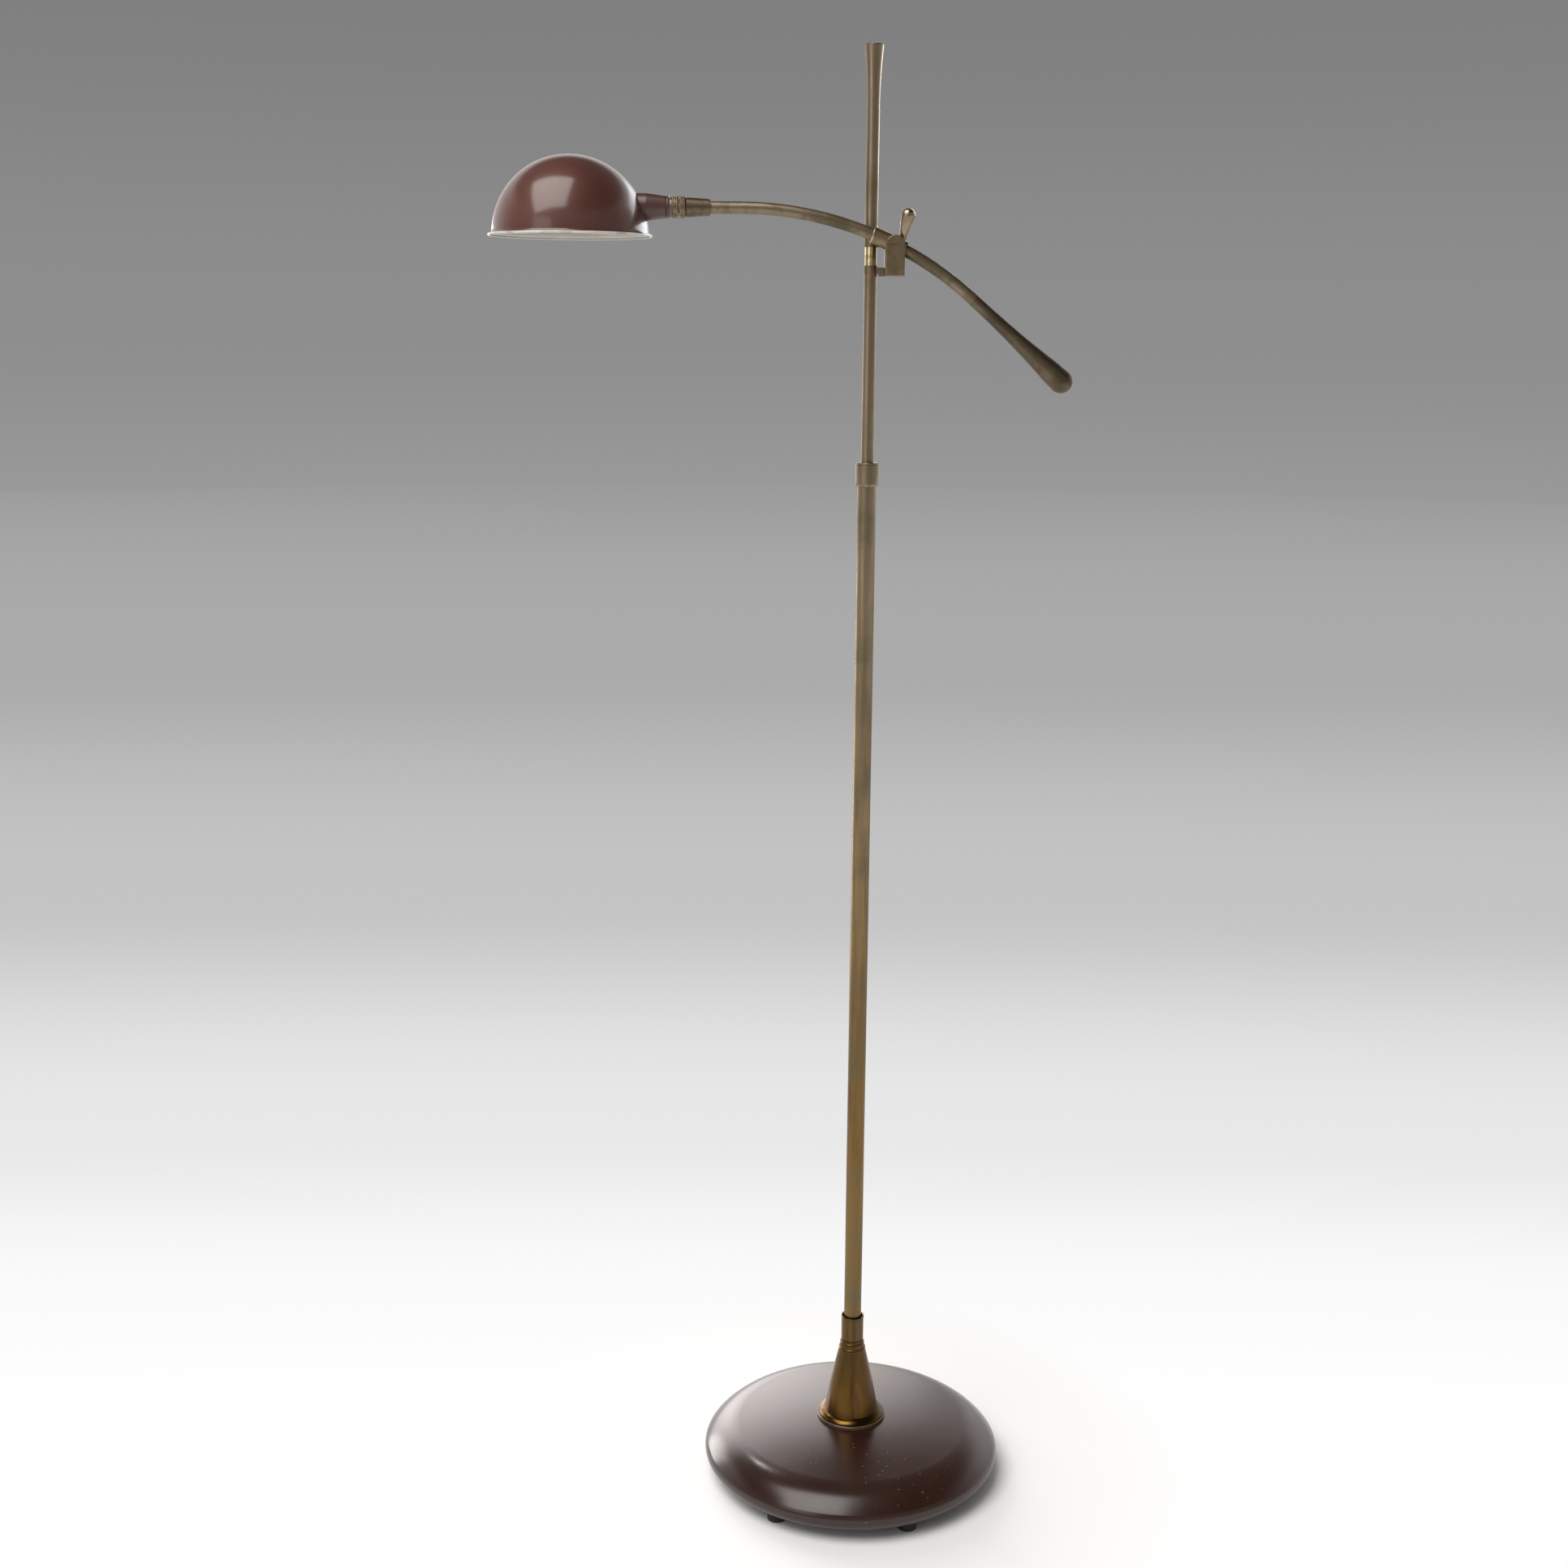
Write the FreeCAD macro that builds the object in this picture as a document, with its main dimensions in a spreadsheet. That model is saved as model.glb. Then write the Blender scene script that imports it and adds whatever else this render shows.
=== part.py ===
"""Cantilever floor lamp: a weighted round base, a telescoping stem and a curved counterbalanced arm.

The stem's axis is the Z axis and the floor is Z = 0. The arm's plane is in front of the stem, towards -Y,
with the shade at -X and the counterweight at +X. All lengths are in millimetres and angles in degrees.
"""
import FreeCAD, Part
import math
import os

import Sketcher

DOC = FreeCAD.newDocument("CantileverFloorLamp")
SHEET = DOC.addObject("Spreadsheet::Sheet", "Sizes")
PARTS = []


class Size:
    """A length, an angle or a ratio with its formula, so that what is built from it follows the sheet."""

    def __init__(self, value, formula):
        self.value = value
        self.formula = formula

    def __add__(self, other):
        other = as_size(other)
        return Size(self.value + other.value, f"({self.formula} + {other.formula})")

    def __radd__(self, other):
        return as_size(other) + self

    def __sub__(self, other):
        other = as_size(other)
        return Size(self.value - other.value, f"({self.formula} - {other.formula})")

    def __rsub__(self, other):
        return as_size(other) - self

    def __mul__(self, other):
        other = as_size(other)
        return Size(self.value * other.value, f"({self.formula} * {other.formula})")

    def __rmul__(self, other):
        return as_size(other) * self

    def __truediv__(self, other):
        other = as_size(other)
        return Size(self.value / other.value, f"({self.formula} / {other.formula})")

    def __neg__(self):
        return Size(-self.value, f"(0 - {self.formula})")


def as_size(thing):
    if isinstance(thing, Size):
        return thing
    return Size(float(thing), f"({thing})")


def root(size):
    return Size(math.sqrt(size.value), f"sqrt({size.formula})")


def sine(angle):
    return Size(math.sin(math.radians(angle.value)), f"sin({angle.formula})")


def cosine(angle):
    return Size(math.cos(math.radians(angle.value)), f"cos({angle.formula})")


class Turn:
    """A rotation with its formula."""

    def __init__(self, rotation, formula):
        self.rotation = rotation
        self.formula = formula

    def __mul__(self, other):
        return Turn(self.rotation.multiply(other.rotation), f"{self.formula} * {other.formula}")


def about(axis, angle):
    angle = as_size(angle)
    vectors = {"x": FreeCAD.Vector(1, 0, 0), "y": FreeCAD.Vector(0, 1, 0), "z": FreeCAD.Vector(0, 0, 1)}
    return Turn(FreeCAD.Rotation(vectors[axis], angle.value), f"rotation{axis}({angle.formula})")


def size(name, value, meaning):
    """One driving dimension: a row of the sheet, and the value that the rest of this file uses."""
    size.row += 1
    SHEET.set(f"A{size.row}", meaning)
    SHEET.set(f"B{size.row}", str(value))
    SHEET.setAlias(f"B{size.row}", name)
    return Size(float(value), f"Sizes.{name}")


size.row = 0

# Fits and gaps
running = size("running_fit", 0.06, "radial clearance of a piece that turns or slides on another")
fixed_fit = size("fixed_fit", 0.03, "radial clearance of a piece that is screwed or pressed into another")
face_gap = size("face_gap", 0.3, "gap beside a piece that moves")

# Base
base_radius = size("base_radius", 164.5, "largest radius of the base")
base_edge_radius = size("base_edge_radius", 12.5, "radius of the rolled edge")
base_shoulder_radius = size("base_shoulder_radius", 55.0, "radius of the shoulder between dome and edge")
base_shoulder_angle = size("base_shoulder_angle", 50.6, "where the shoulder meets the edge, from upright")
base_dome_radius = size("base_dome_radius", 892.0, "radius of the shallow dome")
base_lip_angle = size("base_lip_angle", 70.0, "how far the edge rolls under, from level")
base_wall = size("base_wall", 1.6, "sheet thickness of the base shell")
weight_margin = size("weight_margin", 16.5, "how far the cast weight stays inside the base's edge")
weight_thickness = size("weight_thickness", 12.0, "thickness of the cast weight")
weight_boss_radius = size("weight_boss_radius", 30.0, "radius of the boss that carries the shell's centre")
cover_thickness = size("cover_thickness", 1.5, "sheet thickness of the bottom cover")
foot_height = size("foot_height", 13.2, "height of a rubber foot")
foot_radius = size("foot_radius", 10.0, "radius of a rubber foot where it stands")
foot_taper = size("foot_taper", 1.0, "how much wider a foot is at its top")
foot_inset = size("foot_inset", 23.5, "how far inside the base's edge the centres of the feet are")
foot_first_angle = size("foot_first_angle", -126.0, "direction of the first foot")
foot_screw_radius = size("foot_screw_radius", 2.0, "radius of a foot screw")
foot_screw_head = size("foot_screw_head", 4.2, "head radius of a foot screw")
foot_screw_depth = size("foot_screw_depth", 7.0, "depth of a foot screw in the weight")
foot_screw_sink = size("foot_screw_sink", 4.0, "how deep the head sits in the foot")
foot_count = 6

# Cord inlet in the rear edge of the base
inlet_bore = size("inlet_bore", 3.5, "radius of the hole in the cord inlet bush")
inlet_radius = size("inlet_radius", 5.5, "outer radius of the bush")
inlet_flange = size("inlet_flange", 7.0, "flange radius of the bush")
inlet_stand = size("inlet_stand", 2.2, "how far the flange stands out of the edge")
inlet_inner_length = size("inlet_inner_length", 8.0, "length of the bush inside the edge")
lead_radius = size("lead_radius", 2.5, "radius of the mains lead inside the base and the stem")
lead_top = size("lead_top", 590.0, "height where the lead in the lower tube ends")
lead_bend = size("lead_bend", 9.4, "bend radius of the lead under the tie rod")
groove_width = size("groove_width", 8.0, "width and depth of the lead's groove under the weight")
groove_mouth = size("groove_mouth", 20.0, "length of the notch at the groove's outer end")

# Cone that carries the stem
foot_ring_radius = size("foot_ring_radius", 37.9, "radius of the dark ring under the cone")
foot_ring_height = size("foot_ring_height", 2.6, "height of the dark ring above the crown of the dome")
cone_lip_radius = size("cone_lip_radius", 36.2, "radius of the cone's flared lip")
cone_lip_height = size("cone_lip_height", 1.6, "height of the lip's edge")
cone_flare_height = size("cone_flare_height", 5.6, "height of the flare above the foot ring")
cone_foot_radius = size("cone_foot_radius", 29.6, "radius of the cone above its flare")
cone_flank = size("cone_flank", 1100.0, "radius of the cone's slightly bulging flank")
cone_neck_radius = size("cone_neck_radius", 15.0, "radius of the cone where its neck starts")
cone_neck_height = size("cone_neck_height", 13.0, "height of the neck that carries the two beads")
cone_top_radius = size("cone_top_radius", 12.3, "radius of the cone under the cup")
cone_height = size("cone_height", 89.4, "height of the cone")
cone_wall = size("cone_wall", 1.6, "wall of the cone")
cone_bead_radius = size("cone_bead_radius", 1.6, "radius of a bead's rounded flank")
cone_bead_height = size("cone_bead_height", 2.2, "height of one bead")
cone_bead_depth = size("cone_bead_depth", 3.5, "depth of the upper bead below the cup")
cone_bead_pitch = size("cone_bead_pitch", 6.1, "distance between the two beads")
cup_radius = size("cup_radius", 12.3, "radius of the cup on the cone")
cup_height = size("cup_height", 28.4, "height of the cup")
cup_edge = size("cup_edge", 0.5, "bevel at the cup's ends")
cup_gap = size("cup_gap", 1.7, "open gap between the cup and the tube")
cup_floor = size("cup_floor", 3.0, "thickness of the cup's floor")
rod_radius = size("rod_radius", 4.85, "radius of the hollow threaded tie rod")
rod_bore = size("rod_bore", 3.3, "bore radius of the tie rod")
nut_radius = size("nut_radius", 9.0, "corner radius of the tie nut")
nut_thickness = size("nut_thickness", 5.0, "thickness of the tie nut")
washer_radius = size("washer_radius", 13.0, "radius of the washer under the weight")
washer_thickness = size("washer_thickness", 2.5, "thickness of that washer")
recess_depth = size("recess_depth", 22.0, "depth of the nut's recess under the weight")
recess_radius = size("recess_radius", 16.0, "radius of the nut's recess")

# Stem
lower_radius = size("lower_radius", 9.525, "radius of the lower stem tube")
lower_wall = size("lower_wall", 1.2, "wall of the lower stem tube")
collar_bottom = size("collar_bottom", 1101.6, "height of the clutch collar's lower end")
collar_height = size("collar_height", 23.8, "height of the clutch collar")
collar_radius = size("collar_radius", 11.6, "radius of the clutch collar")
collar_grip = size("collar_grip", 12.0, "length of the lower tube inside the collar")
collet_height = size("collet_height", 7.0, "height of the split collet in the collar")
collet_slit = size("collet_slit", 1.0, "width of the collet's slit")
upper_radius = size("upper_radius", 6.35, "radius of the upper stem tubes")
upper_wall = size("upper_wall", 1.2, "wall of the upper stem tubes")
upper_foot = size("upper_foot", 776.0, "height of the upper tube's lower end")
guide_height = size("guide_height", 18.0, "height of the guide bush on the upper tube's lower end")
guide_floor = size("guide_floor", 4.0, "floor of the guide bush")
core_radius = size("core_radius", 4.0, "radius of the swivel core")
core_head = size("core_head", 13.0, "length of the core's head in the upper tube")
core_plug_height = size("core_plug_height", 15.0, "length of the plug in the top tube")
sleeve_radius = size("sleeve_radius", 5.85, "radius of the polished sleeve between the bracket's rings")
swivel_washer = size("swivel_washer", 0.5, "thickness of a fibre washer beside the bracket")
top_tube_length = size("top_tube_length", 118.5, "length of the top tube")
finial_ring_height = size("finial_ring_height", 2.5, "height of the ring under the finial")
finial_ring_radius = size("finial_ring_radius", 6.5, "radius of that ring")
finial_length = size("finial_length", 61.5, "length of the finial")
finial_foot_radius = size("finial_foot_radius", 6.2, "radius of the finial at its foot")
finial_top_radius = size("finial_top_radius", 9.4, "radius of the finial at its top")
finial_flare = size("finial_flare", 620.0, "radius of the finial's hollow flank")
finial_edge = size("finial_edge", 0.8, "small bevel at the finial's top")
finial_spigot = size("finial_spigot", 14.0, "length of the finial's spigot in the tube")
outlet_drop = size("outlet_drop", 26.0, "how far below the bracket the lead leaves the stem")
outlet_bore = size("outlet_bore", 2.6, "bore radius of the small bushes for the lead")
outlet_radius = size("outlet_radius", 3.2, "outer radius of the small bushes")
outlet_flange = size("outlet_flange", 4.2, "flange radius of the small bushes")
outlet_stand = size("outlet_stand", 1.6, "how far those flanges stand out")

# Bracket
pivot_reach = size("pivot_reach", 23.2, "distance of the tilt pivot from the stem's axis")
pivot_height = size("pivot_height", 1339.5, "height of the tilt pivot")
arm_offset = size("arm_offset", 16.0, "distance of the arm's plane in front of the stem's axis")
knuckle_radius = size("knuckle_radius", 9.4, "radius of the bracket's rounded cheeks")
bracket_drop = size("bracket_drop", 30.0, "how far the bracket reaches below the pivot")
bracket_floor = size("bracket_floor", 8.5, "height of the bracket's floor under the barrel")
bracket_back = size("bracket_back", 5.0, "how far the bracket reaches behind the stem's axis")
cheek_thickness = size("cheek_thickness", 3.0, "thickness of the front cheek")
ring_radius = size("ring_radius", 6.6, "radius of the bracket's two rings")
lower_ring_rise = size("lower_ring_rise", 2.2, "height of the lower ring above the bracket's floor line")
lower_ring_height = size("lower_ring_height", 8.2, "height of the lower ring")
upper_ring_drop = size("upper_ring_drop", 1.8, "how far the upper ring starts below the pivot")
upper_ring_height = size("upper_ring_height", 8.8, "height of the upper ring")
web_width = size("web_width", 8.0, "width of the bracket's webs")
bracket_round = size("bracket_round", 0.9, "rounding of the front cheek's edge")

# Barrel, pivot screws and clamp screw
barrel_radius = size("barrel_radius", 8.4, "radius of the barrel that holds the arm")
barrel_left = size("barrel_left", 4.05, "how far the barrel reaches towards the shade, as an angle")
barrel_right = size("barrel_right", 1.75, "how far it reaches towards the counterweight, as an angle")
barrel_rim = size("barrel_rim", 0.25, "length of the rim at each end of the barrel, as an angle")
barrel_rim_height = size("barrel_rim_height", 0.3, "how far the rims stand out")
pivot_radius = size("pivot_radius", 2.5, "radius of the pivot screws")
pivot_head = size("pivot_head", 4.4, "head radius of the pivot screws")
pivot_sink = size("pivot_sink", 1.6, "depth of the front screw's sunk head")
pivot_head_height = size("pivot_head_height", 2.4, "head height of the rear screw")
spring_washer = size("spring_washer", 0.8, "thickness of the washer under the rear head")
slot_width = size("slot_width", 1.0, "width of a screw's slot")
slot_depth = size("slot_depth", 0.8, "depth of a screw's slot")
clamp_angle = size("clamp_angle", 0.95, "place of the clamp screw past the pivot, as an angle")
clamp_lean = size("clamp_lean", 12.0, "lean of the clamp screw from upright, towards the counterweight")
clamp_forward = size("clamp_forward", 25.0, "lean of the clamp screw towards the front")
clamp_boss_radius = size("clamp_boss_radius", 3.2, "radius of the boss for the clamp screw")
clamp_boss_top = size("clamp_boss_top", 9.7, "distance of the boss's top from the arm's centreline")
clamp_stud = size("clamp_stud", 2.0, "radius of the clamp screw's stud")
clamp_pad_top = size("clamp_pad_top", 7.0, "distance of the clamp pad's top from the arm's centreline")
clamp_hub_radius = size("clamp_hub_radius", 3.7, "radius of the clamp screw's hub")
clamp_hub_height = size("clamp_hub_height", 2.2, "height of the hub")
handle_length = size("handle_length", 28.7, "length of the clamp handle")
handle_foot_radius = size("handle_foot_radius", 3.6, "radius of the clamp handle at its foot")
handle_top_radius = size("handle_top_radius", 7.1, "radius of its rounded top")

# Arm and counterweight
arm_radius = size("arm_radius", 6.0, "radius of the arm tube")
arm_wall = size("arm_wall", 1.2, "wall of the arm tube")
arm_bend_radius = size("arm_bend_radius", 347.6, "radius of the arm's bend")
pivot_slope = size("pivot_slope", 25.6, "slope of the arm at the pivot")
arm_end_slope = size("arm_end_slope", 41.3, "slope of the arm at the counterweight")
arm_front_length = size("arm_front_length", 50.0, "length of the arm's straight front")
arm_inlet_slope = size("arm_inlet_slope", 38.6, "place of the lead's inlet in the arm, as its slope")
arm_lead_radius = size("arm_lead_radius", 2.2, "radius of the lead in the arm")
weight_length = size("weight_length", 119.0, "length of the counterweight up to its rounded end")
weight_neck = size("weight_neck", 15.0, "length of its slim neck")
weight_neck_radius = size("weight_neck_radius", 6.15, "radius of its slim neck")
weight_end_radius = size("weight_end_radius", 11.8, "radius of its rounded end")
weight_end_bevel = size("weight_end_bevel", 0.4, "how much slimmer the flank is where it meets the end")
weight_flank = size("weight_flank", 900.0, "radius of its hollow flank")
weight_spigot = size("weight_spigot", 1.5, "reach of its spigot into the arm, as an angle")

# Swivel between the arm and the head, as distances forward of where the arm's bend starts
ferrule_start = size("ferrule_start", 31.7, "rear end of the ferrule")
ferrule_end = size("ferrule_end", 56.3, "front end of the ferrule")
ferrule_rear_radius = size("ferrule_rear_radius", 7.6, "radius of the ferrule at its rear")
ferrule_front_radius = size("ferrule_front_radius", 9.6, "radius of the ferrule at its front")
spigot_radius = size("spigot_radius", 4.0, "radius of the hollow swivel spigot")
spigot_bore = size("spigot_bore", 2.7, "bore radius of the spigot")
spigot_start = size("spigot_start", 42.0, "rear end of the spigot")
spigot_end = size("spigot_end", 81.0, "front end of the spigot")
clip_radius = size("clip_radius", 6.6, "radius of the clip that holds the head on the spigot")
clip_thickness = size("clip_thickness", 1.4, "thickness of the clip")
nut_ring_radius = size("nut_ring_radius", 10.8, "radius of the knurled swivel nut")
nut_ring_width = size("nut_ring_width", 6.4, "width of the swivel nut")
switch_ring_radius = size("switch_ring_radius", 10.6, "radius of the knurled switch ring")
switch_ring_width = size("switch_ring_width", 6.1, "width of the switch ring")
knurl_bevel = size("knurl_bevel", 0.7, "bevel at the edges of the knurled rings")
hub_radius = size("hub_radius", 6.0, "radius of the hub under the switch ring")

# Head
cap_collar_width = size("cap_collar_width", 2.3, "width of the end cap's collar")
cap_collar_radius = size("cap_collar_radius", 9.6, "radius of that collar")
cap_plug_length = size("cap_plug_length", 5.8, "length of the end cap's plug in the neck")
bead_radius = size("bead_radius", 11.3, "radius of the bead ring at the neck's end")
bead_width = size("bead_width", 3.5, "width of the bead ring")
bead_round = size("bead_round", 1.8, "radius of the bead ring's rounding")
neck_small_radius = size("neck_small_radius", 10.9, "radius of the neck at the bead ring")
neck_big_radius = size("neck_big_radius", 13.5, "radius of the neck at the shade")
neck_taper_length = size("neck_taper_length", 19.0, "length of the neck's taper")
neck_length = size("neck_length", 37.0, "length of the neck")
neck_wall = size("neck_wall", 1.1, "wall of the neck")
lock_ring_radius = size("lock_ring_radius", 16.2, "radius of the ring that locks the shade on the neck")
lock_ring_width = size("lock_ring_width", 2.8, "width of that ring")
holder_end = size("holder_end", 118.0, "front end of the lamp holder, forward of the arm's bend")
holder_floor = size("holder_floor", 14.0, "depth of the lamp holder behind the bulb's cap")
holder_start_radius = size("holder_start_radius", 8.9, "radius of the lamp holder at its rear")
bulb_cap_radius = size("bulb_cap_radius", 6.95, "radius of the bulb's screw cap")
bulb_cap_length = size("bulb_cap_length", 23.0, "length of the screw cap")
bulb_cap_gap = size("bulb_cap_gap", 0.35, "play of the cap in the holder")
contact_radius = size("contact_radius", 3.0, "radius of the holder's centre contact")
contact_height = size("contact_height", 1.5, "height of the centre contact")
bulb_radius = size("bulb_radius", 22.5, "radius of the bulb's globe")
bulb_neck_length = size("bulb_neck_length", 8.0, "length of the glass between the cap and the globe")
shade_reach = size("shade_reach", 170.6, "distance of the shade's centre forward of the arm's bend")
shade_radius = size("shade_radius", 77.1, "outer radius of the domed shade")
shade_wall = size("shade_wall", 1.0, "sheet thickness of the shade")
shade_drop = size("shade_drop", 27.8, "how far the dome's centre is below the neck's axis")
rim_radius = size("rim_radius", 81.0, "outer radius of the shade's flared rim")
rim_flare_height = size("rim_flare_height", 4.6, "height of the flare above the rim")
rim_flare_radius = size("rim_flare_radius", 5.0, "radius of the flare's hollow")
rim_bead = size("rim_bead", 1.3, "radius of the rim's rolled edge")
DOC.recompute()

UPRIGHT = about("z", 0)
ALONG_Y = about("x", -90)
FORWARD = about("y", -90)


def bind(item, name, amount):
    amount = as_size(amount)
    setattr(item, name, amount.value)
    item.setExpression(name, amount.formula)


def place(item, spot=(0, 0, 0), turn=UPRIGHT):
    spot = [as_size(amount) for amount in spot]
    item.Placement = FreeCAD.Placement(FreeCAD.Vector(*[amount.value for amount in spot]), turn.rotation)
    vector = "; ".join(amount.formula for amount in spot)
    item.setExpression("Placement", f"placement(vector({vector}); {turn.formula})")
    return item


def cylinder(name, radius, height, spot=(0, 0, 0), turn=UPRIGHT):
    item = DOC.addObject("Part::Cylinder", name)
    bind(item, "Radius", radius)
    bind(item, "Height", height)
    return place(item, spot, turn)


def cone(name, radius, top_radius, height, spot=(0, 0, 0), turn=UPRIGHT):
    item = DOC.addObject("Part::Cone", name)
    bind(item, "Radius1", radius)
    bind(item, "Radius2", top_radius)
    bind(item, "Height", height)
    return place(item, spot, turn)


def box(name, width, depth, height, spot=(0, 0, 0), turn=UPRIGHT):
    item = DOC.addObject("Part::Box", name)
    bind(item, "Length", width)
    bind(item, "Width", depth)
    bind(item, "Height", height)
    return place(item, spot, turn)


def join(name, *items):
    item = DOC.addObject("Part::MultiFuse", name)
    item.Shapes = list(items)
    item.Refine = True
    return item


def cut(name, base, *tools):
    item = DOC.addObject("Part::Cut", name)
    item.Base = base
    item.Tool = tools[0] if len(tools) == 1 else join(f"{name}_tools", *tools)
    return item


def tube(name, radius, bore, height, spot=(0, 0, 0), turn=UPRIGHT):
    outside = cylinder(f"{name}_outside", radius, height, spot, turn)
    inside = cylinder(f"{name}_inside", bore, height, spot, turn)
    return cut(name, outside, inside)


def finish(item, name):
    """Names a finished sub-part, and puts it on the list of those that are written out."""
    item.Label = name
    PARTS.append(item)
    return item


def arc_between(start, end, radius):
    """The arc from start to end in a sketch; a positive radius bulges to the right of the way."""
    middle = (start + end) * 0.5
    way = end - start
    side = 1.0 if radius > 0 else -1.0
    rise = math.sqrt(max(radius * radius - way.Length ** 2 / 4, 0.0))
    to_left = FreeCAD.Vector(-way.y, way.x, 0) / way.Length
    centre = middle + to_left * (side * rise)
    first, last = (start, end) if side > 0 else (end, start)
    angles = [math.atan2(point.y - centre.y, point.x - centre.x) for point in (first, last)]
    circle = Part.Circle(centre, FreeCAD.Vector(0, 0, 1), abs(radius))
    return Part.ArcOfCircle(circle, angles[0], angles[1])


def outline_sketch(body, outline):
    """A closed outline in the body's XZ plane, from (radius, height) points.

    A point's third value, where it has one, is the radius of the arc to the next point.
    """
    sketch = body.newObject("Sketcher::SketchObject", f"{body.Name}_outline")
    planes = {feature.Role: feature for feature in body.Origin.OriginFeatures}
    sketch.AttachmentSupport = [(planes["XZ_Plane"], "")]
    sketch.MapMode = "FlatFace"
    corners = [[as_size(amount) for amount in point] for point in outline]
    spots = [FreeCAD.Vector(corner[0].value, corner[1].value, 0) for corner in corners]
    count = len(corners)
    ends = []
    for index, corner in enumerate(corners):
        start = spots[index]
        end = spots[(index + 1) % count]
        if len(corner) == 2:
            sketch.addGeometry(Part.LineSegment(start, end), False)
            ends.append((1, 2))
        else:
            sketch.addGeometry(arc_between(start, end, corner[2].value), False)
            ends.append((1, 2) if corner[2].value > 0 else (2, 1))
    for index in range(count):
        following = (index + 1) % count
        link = Sketcher.Constraint("Coincident", index, ends[index][1], following, ends[following][0])
        sketch.addConstraint(link)
    for index, corner in enumerate(corners):
        point = (index, ends[index][0])
        for axis, kind, amount in ((-2, "DistanceX", corner[0]), (-1, "DistanceY", corner[1])):
            if amount.value == 0:
                sketch.addConstraint(Sketcher.Constraint("PointOnObject", *point, axis))
                continue
            number = sketch.addConstraint(Sketcher.Constraint(kind, -1, 1, *point, amount.value))
            sketch.setExpression(f"Constraints[{number}]", amount.formula)
        if len(corner) == 3:
            arc_size = corner[2] if corner[2].value > 0 else -corner[2]
            number = sketch.addConstraint(Sketcher.Constraint("Radius", index, arc_size.value))
            sketch.setExpression(f"Constraints[{number}]", arc_size.formula)
    return sketch


def turned(name, outline, spot=(0, 0, 0), turn=UPRIGHT):
    """A turned piece: the outline revolved about the body's own Z axis."""
    body = DOC.addObject("PartDesign::Body", name)
    sketch = outline_sketch(body, outline)
    turning = body.newObject("PartDesign::Revolution", f"{name}_turning")
    turning.Profile = sketch
    turning.ReferenceAxis = (sketch, ["V_Axis"])
    turning.Angle = 360
    return place(body, spot, turn)


# Heights and places that several pieces share
stack = foot_height + cover_thickness
weight_radius = base_radius - weight_margin
foot_circle = base_radius - foot_inset
edge_centre_radius = base_radius - base_edge_radius
edge_height = foot_height + base_edge_radius * sine(base_lip_angle)
shoulder_span = base_shoulder_radius - base_edge_radius
shoulder_out = edge_centre_radius - shoulder_span * sine(base_shoulder_angle)
shoulder_up = edge_height - shoulder_span * cosine(base_shoulder_angle)
dome_span = base_dome_radius - base_shoulder_radius
dome_rise = root(dome_span * dome_span - shoulder_out * shoulder_out)
dome_centre = shoulder_up - dome_rise
dome_crown = dome_centre + base_dome_radius
tangent_out = shoulder_out / dome_span
tangent_up = dome_rise / dome_span
rod_hole = rod_radius + fixed_fit
cone_bottom = dome_crown + foot_ring_height
cone_top = cone_bottom + cone_height
tube_bottom = cone_top + cup_floor
lower_bore = lower_radius - lower_wall
upper_bore = upper_radius - upper_wall
bracket_bottom = pivot_height - bracket_drop
lower_ring_bottom = bracket_bottom + lower_ring_rise
upper_ring_bottom = pivot_height - upper_ring_drop
upper_ring_top = upper_ring_bottom + upper_ring_height
tube_end = lower_ring_bottom - swivel_washer
top_tube_bottom = upper_ring_top + swivel_washer
top_tube_top = top_tube_bottom + top_tube_length
slot_half = barrel_radius + barrel_rim_height + face_gap
arm_plane = -arm_offset
bend_x = pivot_reach - arm_bend_radius * sine(pivot_slope)
bend_z = pivot_height - arm_bend_radius * cosine(pivot_slope)
head_height = bend_z + arm_bend_radius


def dome_height(radius, drop):
    """Height of the dome, less a drop along its own radius, at a distance from the stem's axis."""
    inner = base_dome_radius - drop
    return dome_centre + root(inner * inner - radius * radius)


def shoulder_point(drop):
    """Where the dome runs into the shoulder, on the surface that lies a drop inside the outer one."""
    inner = base_shoulder_radius - drop
    return (shoulder_out + inner * tangent_out, shoulder_up + inner * tangent_up)


def edge_point(drop):
    """Where the shoulder runs into the rolled edge."""
    inner = base_edge_radius - drop
    rise = inner * cosine(base_shoulder_angle)
    return (edge_centre_radius + inner * sine(base_shoulder_angle), edge_height + rise)


def lip_point(drop):
    inner = base_edge_radius - drop
    return (edge_centre_radius + inner * cosine(base_lip_angle), edge_height - inner * sine(base_lip_angle))


def on_arm(slope):
    """The point of the arm's centreline where it has this slope."""
    return (bend_x + arm_bend_radius * sine(slope), arm_plane, bend_z + arm_bend_radius * cosine(slope))


def bent(name, radius, start, end):
    """A solid round bar that follows the arm's bend from one slope to another."""
    item = DOC.addObject("Part::Torus", name)
    bind(item, "Radius1", arm_bend_radius)
    bind(item, "Radius2", radius)
    bind(item, "Angle3", end - start)
    lying = Turn(FreeCAD.Rotation(FreeCAD.Vector(1, 1, 1), 240), "rotation(vector(1; 1; 1); 240)")
    return place(item, (bend_x, arm_plane, bend_z), about("y", start) * lying)


def forward(distance):
    """The point of the head's axis at a distance forward of where the arm's bend starts."""
    return (bend_x - distance, arm_plane, head_height)


def hexagon(name, corner_radius, height, spot):
    item = DOC.addObject("Part::Prism", name)
    item.Polygon = 6
    bind(item, "Circumradius", corner_radius)
    bind(item, "Height", height)
    return place(item, spot)


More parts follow.
